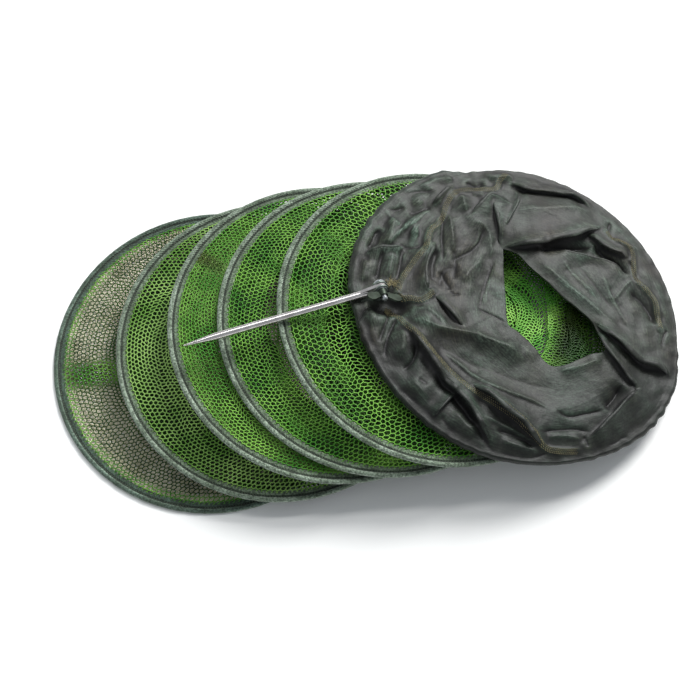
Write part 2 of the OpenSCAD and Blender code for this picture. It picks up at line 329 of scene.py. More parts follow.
def collar_nylon():
    """Woven nylon with a polyurethane backing: dark grey green with a satin sheen, fine threads that run
    one way and brown stains. It is painted darker over the front of its outer band, as shade, and its
    creases are painted paler along their crests, as a highlight, and darker in the hollows beside them."""
    constants = {"Roughness": 0.53, "Specular IOR Level": 0.32, "Sheen Weight": 0.05}
    material, tree, shader = new_material("coated_nylon_cloth", constants)
    place = add_node(tree, COORDINATES).outputs["Object"]
    patches = add_node(tree, NOISE, {}, {"Vector": place, "Scale": per_metre(71.4), "Detail": 4.0})
    tones = [(0.3, "#433f36"), (0.42, "#454f44"), (0.55, "#4e5d51"), (0.68, "#576d5e")]
    tint = add_node(tree, RAMP, {}, {"Fac": patches}, tones)
    uv = add_node(tree, COORDINATES).outputs["UV"]
    along = add_node(
        tree, "ShaderNodeMapping", {},
        {
            "Vector": uv, "Rotation": (0.0, 0.0, math.radians(THREAD_BIAS)),
            "Scale": (1 / THREAD_LONG, 1 / THREAD_STEP, 1.0),
        },
    )
    threads = add_node(tree, NOISE, {}, {"Vector": along, "Scale": 1.0, "Detail": 2.0})
    shade = add_node(tree, RAMP, {}, {"Fac": threads}, [(0.35, "#838982"), (0.65, "#ffffff")])
    tint = add_node(tree, MIX, MULTIPLY, {"Factor": 1.0, "A": tint, "B": shade})
    # Rubbed specks of about 2 mm, and brown stains of about 30 mm.
    for size, low, high, dark in ((2.38, 0.35, 0.65, "#a6aba4"), (32.3, 0.3, 0.55, "#dccab8")):
        patches = add_node(tree, NOISE, {}, {"Vector": place, "Scale": per_metre(size), "Detail": 3.0})
        shade = add_node(tree, RAMP, {}, {"Fac": patches}, [(low, dark), (high, "#ffffff")])
        tint = add_node(tree, MIX, MULTIPLY, {"Factor": 1.0, "A": tint, "B": shade})
    # Painted shade over the front of the outer band, and painted light on creases: paler along their
    # crests, as a highlight, and darker in the hollows beside them, as shade.
    for mark, stops in (
        ("front_shade", [(0.0, "#ffffff"), (1.0, "#a3a8a2")]),
        ("wear_and_painted_light", [(0.0, "#453c35"), (0.35, "#a39d95"), (0.5, "#bcbdb9"), (0.72, "#ffffff")]),
    ):
        value = add_node(tree, MARK, {"attribute_name": mark}).outputs["Fac"]
        shade = add_node(tree, RAMP, {}, {"Fac": value}, stops)
        tint = add_node(tree, MIX, MULTIPLY, {"Factor": 1.0, "A": tint, "B": shade})
    tree.links.new(tint.outputs["Result"], shader.inputs["Base Color"])
    crumples = add_node(tree, NOISE, {}, {"Vector": place, "Scale": per_metre(6.67), "Detail": 5.0})
    fine = add_node(tree, BUMP, {}, {"Strength": 0.6, "Distance": 0.2 * MM, "Height": threads})
    bump = add_node(
        tree, BUMP, {}, {"Strength": 0.7, "Distance": 0.8 * MM, "Height": crumples, "Normal": fine}
    )
    tree.links.new(bump.outputs["Normal"], shader.inputs["Normal"])
    return material


def metal(name, dark, light, smoothest, roughest, grain, pits):
    """Metal with a worked surface: its colour varies over patches of 11 mm, and its gloss with a grain
    that many millimetres wide and pits that many millimetres deep."""
    material, tree, shader = new_material(name, {"Metallic": 1.0})
    place = add_node(tree, COORDINATES).outputs["Object"]
    patches = add_node(tree, NOISE, {}, {"Vector": place, "Scale": per_metre(11.1), "Detail": 4.0})
    tint = add_node(tree, RAMP, {}, {"Fac": patches}, [(0.35, dark), (0.65, light)])
    tree.links.new(tint.outputs["Color"], shader.inputs["Base Color"])
    fine = add_node(tree, NOISE, {}, {"Vector": place, "Scale": per_metre(grain), "Detail": 3.0})
    rough = add_node(
        tree, "ShaderNodeMapRange", {}, {"Value": fine, "To Min": smoothest, "To Max": roughest}
    )
    tree.links.new(rough.outputs["Result"], shader.inputs["Roughness"])
    bump = add_node(tree, BUMP, {}, {"Strength": 0.3, "Distance": pits * MM, "Height": fine})
    tree.links.new(bump.outputs["Normal"], shader.inputs["Normal"])
    return material


# The distance round the tape's profile, and the tones at distances across it from the bead's lower
# inner edge: over the bead's outer side and top, the sewn groove, the flange and its edge, and under.
# In both lists the bead's lower side and the tape's underside are painted with shade, the bead's top
# with a highlight, and the sewn groove dark with shade.
TAPE_ROUND = 38.0
TAPE_TONES = [
    (5.0, "#5f7160"), (7.6, "#a6b4a4"), (8.8, "#8a9a88"), (11.4, "#8a9a88"),
    (12.8, "#a3b19f"), (14.0, "#2a3529"), (15.8, "#2a3529"), (16.8, "#76886f"),
    (20.0, "#64775f"), (21.2, "#aebf9a"), (22.6, "#75886c"), (28.0, "#4c5c49"),
]
DARK_TAPE_TONES = [
    (5.0, "#4a5f50"), (7.6, "#93a692"), (8.8, "#62776a"), (11.4, "#5b7062"),
    (12.8, "#7f9483"), (14.0, "#1f2b22"), (15.8, "#1f2b22"), (16.8, "#4e6555"),
    (20.0, "#465c4d"), (21.2, "#93a784"), (22.6, "#5c7058"), (28.0, "#3f4f40"),
]
TWINE = net_thread("polyethylene_net_twine", "#4c6038", "#529a34", "#a4dd68")
PALE_TWINE = net_thread("polyethylene_net_twine_worn", "#566b3e", "#719e48", "#bbdd8a")
BASE_TWINE = net_thread("polyethylene_net_twine_bleached", "#b0ad8e", "#ccc9a8", "#efead2")
TAPE = woven_tape("woven_polypropylene_tape", TAPE_TONES)
DARK_TAPE = woven_tape("woven_polypropylene_tape_dark", DARK_TAPE_TONES)
TAPE_THREAD = plain_thread("polyester_thread_green", "#2f3d2d", "#56684f")
KHAKI_THREAD = plain_thread("polyester_thread_khaki", "#4f4a33", "#857c58")
NYLON = collar_nylon()

# Cold-drawn wire with a dull grey gloss, a turned spike polished until it mirrors, bright fasteners
# with a crystal-grey plating, a wing nut cast rough and dark, whose green-grey tint is a painted
# reflection of the green net and cloth round it, and a dull pressed sheet.
WIRE = metal("drawn_steel_wire", "#8b8d8c", "#b9bbba", 0.3, 0.45, 1.11, 0.05)
SPIKE_STEEL = metal("polished_steel", "#c2bcba", "#e2dedc", 0.2, 0.27, 2.86, 0.003)
ZINC = metal("zinc_plated_steel", "#9ea3a6", "#cdd1d2", 0.25, 0.42, 0.667, 0.03)
# Painted reflection: the wing nut's dark green grey stands for the net and cloth that it reflects.
CAST_ZINC = metal("cast_zinc", "#2c312b", "#40483f", 0.35, 0.5, 0.909, 0.06)
PRESSED = metal("galvanised_sheet_steel", "#6f7972", "#939c95", 0.35, 0.5, 1.43, 0.05)
FINISHES = {
    "base_hoop": WIRE, "hoop_2": WIRE, "hoop_3": WIRE, "hoop_4": WIRE, "hoop_5": WIRE, "mouth_hoop": WIRE,
    "bracket": PRESSED, "pivot_bolt": ZINC, "washers": ZINC, "wing_nut": CAST_ZINC, "spike": SPIKE_STEEL,
}
for node, finish in FINISHES.items():
    for material_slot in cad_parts[node].material_slots:
        material_slot.material = finish

# ---------------------------------------------------------------- tapes

TAPE_STEPS = 420
# Where the flange starts, inside the wire's centre, and how wide it is.
FLANGE_START = 3.0
FLANGE_WIDE = 6.6
# How far the flange's edge wavers and the flange flutters, and by what share the bead is plumper.
EDGE_WAVER = 0.45
FLANGE_FLUTTER = 0.35
BEAD_PLUMP = 0.05
# The pinched line where the tape is sewn: how far inside the wire it lies and half its thickness.
# Lock stitches lie along it 3 mm apart, each 0.68 degrees long.
SEWN_LINE = 3.6
SEWN_HALF = 0.75
STITCH_STEP = 3.0
STITCH_TURN = 0.68
STITCH_WIDE = 0.8
STITCH_HIGH = 0.7


def tape_profile():
    """Bead round the wire, a pinched line where it is sewn, and a flat flange with a rounded end.
    Each row is the distance outside the wire's centre and the height."""
    bead = np.radians(np.linspace(-148, 148, 15))
    bead_points = np.stack([BEAD_R * np.cos(bead), BEAD_R * np.sin(bead)], -1)
    top = np.array([
        [-2.9, 0.75], [-3.6, 0.42], [-4.3, 0.6], [-5.0, 1.15],
        [-6.4, 1.05], [-7.8, 1.0], [-8.8, 1.25], [-9.5, 1.0],
    ])
    bottom = top[::-1] * [1, -1]
    return np.concatenate([bead_points, top, [[-9.65, 0.0]], bottom])


def tape(k):
    """The profile carried round hoop k. The flange's edge wavers and the flange flutters a little."""
    profile = tape_profile()
    a = np.arange(TAPE_STEPS) * 360 / TAPE_STEPS
    out, high = profile[:, 0], profile[:, 1]
    inward = np.clip((-out - FLANGE_START) / FLANGE_WIDE, 0, 1)
    waver = EDGE_WAVER * ripple(a, 10 + k, 20, 70)[:, None] * inward**2
    flutter = FLANGE_FLUTTER * ripple(a, 20 + k, 12, 60)[:, None] * inward**1.5
    plump = 1 + BEAD_PLUMP * ripple(a, 30 + k, 30, 110, 8)[:, None] * (inward == 0)
    r = HOOP_R + out * plump + waver
    points = hoop_point(k, r, a[:, None] + 0 * r, high * plump + flutter)
    points[..., 2] = np.maximum(points[..., 2], 0.0)
    points = points.reshape(-1, 3)
    faces, corners = grid_faces(TAPE_STEPS, len(profile), True, True)
    across = distances(np.vstack([profile, profile[:1]]))
    uv = np.stack([corners[..., 0] * HOOP_ROUND / TAPE_STEPS, across[corners[..., 1]]], -1)
    turned = outward(points, faces)
    if turned is not faces:
        uv = uv[:, ::-1]
    piece = add_piece(f"tape_{k + 1}_woven", points, turned, DARK_TAPE if k == 0 else TAPE, uv)
    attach(piece, BODIES[k])
    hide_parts(f"tape_{k + 1}")


def stitch_row(name, starts, ends, up, width, height, material, body, slot):
    """One closed stitch from each start to each end: a four-sided spindle, thick in the middle, whose
    width lies square to up."""
    along = ends - starts
    ahead = unit(along)
    side = unit(np.cross(up, ahead))
    lift = np.cross(ahead, side)
    rings = [
        starts + along * t + side * width / 2 * x + lift * height / 2 * y
        for t in (0.18, 0.82) for x, y in ((1, 0), (0, 1), (-1, 0), (0, -1))
    ]
    points = np.stack([starts] + rings + [ends], 1)
    quads = [[1 + n, 1 + (n + 1) % 4, 5 + (n + 1) % 4, 5 + n] for n in range(4)]
    caps = [[0, 1 + (n + 1) % 4, 1 + n] for n in range(4)]
    caps += [[9, 5 + n, 5 + (n + 1) % 4] for n in range(4)]
    triangles = np.array([q[:3] for q in quads] + [[q[0], q[2], q[3]] for q in quads] + caps)
    faces = (np.arange(len(starts))[:, None, None] * points.shape[1] + triangles).reshape(-1, 3)
    piece = add_piece(name, points.reshape(-1, 3), outward(points.reshape(-1, 3), faces), material)
    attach(piece, body)


def tape_stitches(k):
    """Lock stitches in the pinched line, on the upper face of the tape and on the lower."""
    count = int(HOOP_ROUND / STITCH_STEP)
    a = np.tile(np.arange(count) * 360 / count, 2)
    n = np.repeat([SEWN_HALF, -SEWN_HALF], count)
    starts = hoop_point(k, HOOP_R - SEWN_LINE, a, n)
    ends = hoop_point(k, HOOP_R - SEWN_LINE, a + STITCH_TURN, n)
    for points in (starts, ends):
        points[:, 2] = np.maximum(points[:, 2], STITCH_HIGH / 2)
    up = hoop_frame(k)[3]
    name = f"tape_{k + 1}_stitches"
    stitch_row(name, starts, ends, up, STITCH_WIDE, STITCH_HIGH, TAPE_THREAD, BODIES[k], "tape")


for hoop in range(MOUTH):
    tape(hoop)
    tape_stitches(hoop)

# ---------------------------------------------------------------- netting

# Cells round each length, from the base up, and rows of knots along it.
CELLS_ROUND = [200, 200, 200, 196, 168]
NET_ROWS = 46
TWINE_WIDTH = 1.15
# How far a strut runs past the knots it joins, the share of its thickness that is above its middle,
# and which of its six points lie along its ridge, where the twine is painted with a highlight; its
# other points are painted with shade.
KNOT_REACH = 0.22
ABOVE = 0.65
RIDGE = np.array([0.0, 1.0, 0.0, 0.0, 1.0, 0.0])
# How far each knot of a zigzag row is pushed along the tube, in rows.
ZIGZAG = 0.17


def outward_struts(points, faces):
    """Struts that face outwards: all are built alike, so the first one decides."""
    first = points[:len(RIDGE)]
    a, b, c = first[faces[0, :3]]
    out = first[faces[0]].mean(axis=0) - first.mean(axis=0)
    return faces[:, ::-1] if np.cross(b - a, c - a) @ out < 0 else faces


def twine_struts(points, edges, up, thick, width):
    """A three-sided strut along each edge of the net: its width lies square to up, its top is a ridge.
    Each point is an end of the edge, plus or minus half the width sideways, or up by the thickness."""
    width = np.broadcast_to(width, len(edges))[:, None]
    a, b = points[edges[:, 0]], points[edges[:, 1]]
    ahead = unit(b - a)
    up = np.broadcast_to(up, a.shape)
    side = unit(np.cross(up, ahead))
    ring = []
    for n, end, reach in ((0, a, -KNOT_REACH), (1, b, KNOT_REACH)):
        middle = end + ahead * reach
        tall = thick[edges[:, n]][:, None]
        ring += [
            middle + side * width / 2 - up * tall * (1 - ABOVE),
            middle + up * tall * ABOVE,
            middle - side * width / 2 - up * tall * (1 - ABOVE),
        ]
    struts = np.stack(ring, 1).reshape(-1, 3)
    quads = np.array([[0, 1, 4, 3], [1, 2, 5, 4], [2, 0, 3, 5]])
    faces = (np.arange(len(edges))[:, None, None] * len(RIDGE) + quads).reshape(-1, 4)
    return struts, outward_struts(struts, faces)


def honeycomb(rows, halves):
    """Edges of a honeycomb that joins up round the tube: zigzag rows, and struts from row to row.
    Also how far each knot of the zigzag is pushed along the tube, in rows."""
    j, i = np.meshgrid(np.arange(rows), np.arange(halves), indexing="ij")
    here = j * halves + i
    zigzag = np.stack([here, j * halves + (i + 1) % halves], -1).reshape(-1, 2)
    joins = (i + j) % 2 == 0
    push = np.where(joins, ZIGZAG, -ZIGZAG)
    joins[-1] = False
    struts = np.stack([here[joins], here[joins] + halves], -1)
    return np.concatenate([zigzag, struts]), push


def unsmooth(w):
    """The t at which t*t*(3 - 2t) is w, which spaces the net evenly when it is drawn out."""
    return 0.5 - np.sin(np.arcsin(1 - 2 * np.clip(w, 0, 1)) / 3)


# The net lies low on the lower hoop's plane, between these heights above it.
SLAB_LOW = 1.3
SLAB_HIGH = 9.0
# How far each length of net folds in under its upper hoop, and the shares of its length at which it
# starts, turns back and ends.
FOLD_DEPTH = [64.0, 58.0, 56.0, 60.0, 74.0]
TURNS = [0.0, 0.33, 0.47, 0.67, 1.0]
# How far the net reaches into the tape's flange and the collar's casing.
NET_IN_TAPE = 2.5
NET_IN_CASING = 1.0
# The share of its length that a panel uses to climb a millimetre, and the most it uses.
CLIMB_SHARE = 1.5 / 260
MOST_CLIMB = 0.24
# The share over which the net leaves the lower flange.
LEAVES_TAPE = 0.008


def panel_path(k, a, q):
    """Net between hoops k and k + 1 at bearing a and share q of its length. It zigzags in and out
    under the upper hoop while its middle moves from the lower hoop's to the upper hoop's, then
    climbs to the upper hoop's flange. Returns the points and how high each is over the lower
    hoop's plane."""
    centre, down, level, up = hoop_frame(k)
    end_r = HOOP_R - (FLANGE_END - NET_IN_TAPE if k + 1 < MOUTH else CASING_R - NET_IN_CASING)
    start = hoop_point(k, HOOP_R - FLANGE_END + NET_IN_TAPE + 0 * a, a, 0 * a)
    end = hoop_point(k + 1, end_r + 0 * a, a, 0 * a - 0.3)
    climb = np.clip((end - centre) @ up - SLAB_HIGH - 0.6, 0, None)
    rise_from = 1 - np.clip(climb * CLIMB_SHARE, 0, MOST_CLIMB)
    w = np.clip(q / rise_from, 0, 1)
    depth = FOLD_DEPTH[k] * (1 + 0.1 * ripple(a, 40 + k, 2, 7))
    middle = 0.68 + 0.06 * ripple(a, 50 + k, 3, 9)
    tops = [0 * a, 1 + 0 * a, middle, 1.08 + 0.06 * ripple(a, 60 + k, 3, 8), 0 * a]
    fold = np.zeros(np.broadcast(a, q).shape)
    for since, until, low, high in zip(TURNS, TURNS[1:], tops, tops[1:]):
        t = np.clip((q - since) / (until - since), 0, 1)
        fold = np.where((q >= since) & (q <= until), low + (high - low) * (0.3 * t + 0.7 * ease(t)), fold)
    base = start * (1 - w[..., None]) + end * w[..., None]
    c, s = turn(a - LEAN_AZ)
    inward = -(c[..., None] * down + s[..., None] * level)
    place = base + (depth * fold)[..., None] * inward
    flat = place - ((place - centre) @ up)[..., None] * up
    height = SLAB_LOW + (SLAB_HIGH - SLAB_LOW) * unsmooth(w)
    last = np.clip((q - rise_from) / np.maximum(1 - rise_from, 1e-6), 0, 1)
    top = (end - centre) @ up
    height = np.where(w >= 1, SLAB_HIGH + (top - SLAB_HIGH) * last, height)
    height = np.where(q < LEAVES_TAPE, height * q / LEAVES_TAPE, height)
    return flat + height[..., None] * up, height


# Rows crowd together and knots stray by these shares of a panel's length. Round the hoop, knots
# stray and cells sway in broad and narrow waves by these degrees.
ROWS_CROWD = 0.007
KNOTS_STRAY = 0.0014
STRAY_ROUND = 0.13
SWAY_BROAD = 1.2
SWAY_NARROW = 0.35
# The share of a panel's length that lies on top, and the share after which the mouth's panel comes
# back out, each with the share over which that happens. Lengths folded under are gathered, so their
# strands are wider by a share, and they are painted in shade.
ON_TOP, ON_TOP_OVER = 0.22, 0.12
OUT_AGAIN, OUT_AGAIN_OVER = 0.6, 0.15
GATHERED_WIDER = 0.6
# The second panel is worn: pale, with strands that have swollen.
WORN = 1
WORN_WIDER = 1.45
# The least painted shade that any strand takes, of 1 for the darkest.
LEAST_PAINTED_SHADE = 0.25
# The middle of what shows in the mouth's gap, where the net is painted as lit, its radius, and how far
# along X, less 0.3 of Y, the painted shade of its right side starts and how far it takes to deepen.
IN_MOUTH = np.array([185.0, 25.0])
IN_MOUTH_R = 70.0
SHADE_FROM, SHADE_OVER = 195.0, 25.0
# Bands across a net, as a middle, half length, half width and bearing: a rusty one on the third
# panel, and one where the base net is painted in shade, for the dark of a fold above it, and the
# first panel is painted with less shade.
RUSTY_BAND = ((-182, 79), 32, 9, -32)
BASE_SHADE_BAND = ((-303, -40), 34, 15, 5.8)


def net_marks(k, place, along, gathered):
    """How much painted shade each strand of panel k takes, for lying in the dark under other lengths,
    and how stained it is, 0 to 1, at places in plan and shares along the panel. Inside the mouth the
    net is painted as lit, up to its right side, which is painted in shade and tinted brown."""
    # Painted shade on lengths folded under others, in patches, and only a tenth of it on the second panel.
    under = gathered * np.clip(0.8 + 0.3 * swell(place, 110 + k, 70), 0, 1) * (0.1 if k == WORN else 1)
    if k == 0:
        # The first panel is painted in shade past its first stretch, except over the base net's shade band.
        under = np.maximum(under, 1.3 * ease((along - 0.03) / 0.05) * (1 - band(place, *BASE_SHADE_BAND)))
    under = LEAST_PAINTED_SHADE + (1 - LEAST_PAINTED_SHADE) * under
    stain = np.zeros(len(place))
    if k > WORN:
        # Inside the mouth the painted shade gives way to painted light, except on the right side, which is
        # painted in shade and tinted brown.
        in_mouth = patch(polar(place - IN_MOUTH)[0] / IN_MOUTH_R)
        shaded = ease((place[:, 0] - place[:, 1] * 0.3 - SHADE_FROM) / SHADE_OVER)
        under = under * (1 - in_mouth) + in_mouth * 0.75 * shaded
        stain = in_mouth * shaded
    if k == 2:
        stain = np.maximum(stain, band(place, *RUSTY_BAND))
    return {"under": np.repeat(under, len(RIDGE)), "stain": np.repeat(stain, len(RIDGE))}


def net_panel(k):
    """The honeycomb laid along the path, its rows spaced evenly along each bearing's own length. Its
    knots stray a little, its rows crowd together here and there, and its cells sway round the hoop."""
    halves = 2 * CELLS_ROUND[k]
    a = np.arange(halves) * 360 / halves
    fine = np.linspace(0, 1, 241)
    path, _ = panel_path(k, a[:, None] + 0 * fine, fine + 0 * a[:, None])
    steps = np.linalg.norm(np.diff(path, axis=1), axis=2)
    length = np.concatenate([np.zeros((halves, 1)), np.cumsum(steps, axis=1)], axis=1)
    share = length / length[:, -1:]
    edges, push = honeycomb(NET_ROWS, halves)
    j = np.arange(NET_ROWS)[:, None]
    want = np.clip((j + push) / (NET_ROWS - 1), 0, 1)
    rng = np.random.default_rng(70 + k)
    waves = 5 * want + 0.6 * ripple(a + 200 * want, 90 + k, 6, 16)
    crowd = ROWS_CROWD * np.sin(2 * math.pi * waves) * np.sin(math.pi * want)
    loose = (j > 0) * (j < NET_ROWS - 1)
    want = np.clip(want + (crowd + rng.normal(0, KNOTS_STRAY, want.shape)) * loose, 0, 1)
    q = np.stack([np.interp(want[:, n], share[n], fine) for n in range(halves)], 1)
    bearing = a + rng.normal(0, STRAY_ROUND, want.shape)
    sway = SWAY_BROAD * ripple(bearing + 300 * want, 80 + k, 5, 14)
    sway = sway + SWAY_NARROW * ripple(bearing - 500 * want, 95 + k, 28, 60)
    points, height = panel_path(k, bearing + sway * np.sin(np.pi * want), q)
    # Half way up, where lengths of net lie close over one another, strands are pressed flat.
    t = np.clip((height - SLAB_LOW) / (SLAB_HIGH - SLAB_LOW), 0, 1)
    thick = np.minimum(1.0, 1.6 / (1 + 180 * t * (1 - t)))
    points, along = points.reshape(-1, 3), want.ravel()[edges[:, 0]]
    gathered = ease((along - ON_TOP) / ON_TOP_OVER)
    if k + 1 == MOUTH:
        gathered = gathered * (1 - ease((along - OUT_AGAIN) / OUT_AGAIN_OVER))
    width = TWINE_WIDTH * np.maximum(1 + GATHERED_WIDER * gathered, WORN_WIDER if k == WORN else 1)
    up = hoop_frame(k)[3]
    struts, faces = twine_struts(points, edges, up, thick.ravel(), width)
    # Painted shade where lengths of net lie under others.
    marks = net_marks(k, points[edges[:, 0], :2], along, gathered)
    # The ridge mark paints a highlight along each strand's top and shade down its sides.
    marks["ridge"] = np.tile(RIDGE, len(edges))
    twine = PALE_TWINE if k == WORN else TWINE
    piece = add_piece(f"net_panel_{k + 1}_mesh", struts, faces, twine, marks=marks)
    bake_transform(piece)
    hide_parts(f"net_panel_{k + 1}")


# The base net: from gap to gap of its cells, the width and thickness of its strands, how far it
# reaches in under the flange, how far it rises there over its outermost stretch, and how far its
# knots stray.
BASE_PITCH = 5.5
BASE_WIDTH = 1.6
BASE_THICK = 0.55
BASE_REACH = HOOP_R - FLANGE_END + 3
BASE_RISE = 1.6
BASE_RISE_OVER = 24.0
BASE_STRAY = 0.22


def base_net(name, shift, low):
    """One of the base's two layers: flat honeycomb across the base hoop, shifted along Y, with strands
    pressed flat where they lie on the ground. Slow sines bend its rows. It rises to the flange."""
    side = BASE_PITCH / math.sqrt(3)
    columns, rows = int(BASE_REACH / BASE_PITCH * 2) + 4, int(BASE_REACH / (1.5 * side)) * 2 + 4
    j, i = np.meshgrid(np.arange(rows), np.arange(2 * columns), indexing="ij")
    even = (i + j) % 2 == 0
    x = (i - columns) * BASE_PITCH / 2
    y = (j - rows / 2) * 1.5 * side + np.where(even, 0.25, -0.25) * side + shift
    here = j * 2 * columns + i
    across = np.stack([here[:, :-1].ravel(), here[:, 1:].ravel()], -1)
    upward = np.stack([here[:-1][even[:-1]], here[1:][even[:-1]]], -1)
    edges = np.concatenate([across, upward])
    rng = np.random.default_rng(7)
    x = x + 3.0 * np.sin(y / 41 + 1) + rng.normal(0, BASE_STRAY, x.shape)
    y = y + 3.5 * np.sin(x / 37) + 1.5 * np.sin(x / 17 + y / 23) + rng.normal(0, BASE_STRAY, x.shape)
    r = np.hypot(x, y)
    inside = r.ravel() < BASE_REACH
    edges = edges[inside[edges[:, 0]] & inside[edges[:, 1]]]
    z = low + BASE_RISE * np.clip((r - BASE_REACH + BASE_RISE_OVER) / BASE_RISE_OVER, 0, 1) ** 2
    points = np.stack([HOOPS[0, 0] + x, HOOPS[0, 1] + y, z], -1).reshape(-1, 3)
    thick = np.full(len(points), BASE_THICK)
    struts, faces = twine_struts(points, edges, np.array([0.0, 0.0, 1.0]), thick, BASE_WIDTH)
    # Painted shade: the base net is darker in the band that lies in the dark of a fold above it.
    under = band(points[edges[:, 0], :2], *BASE_SHADE_BAND)
    # The ridge mark paints a highlight along each strand's top and shade down its sides.
    marks = {"ridge": np.tile(RIDGE, len(edges)), "under": np.repeat(under, len(RIDGE))}
    piece = add_piece(name, struts, faces, BASE_TWINE, marks=marks)
    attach(piece, "base")
    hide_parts("base_net")


for lower in range(MOUTH):
    net_panel(lower)
base_net("base_net_mesh", 0.0, 1.0)
base_net("base_net_lower_mesh", 3.1, 0.3)

# ---------------------------------------------------------------- collar

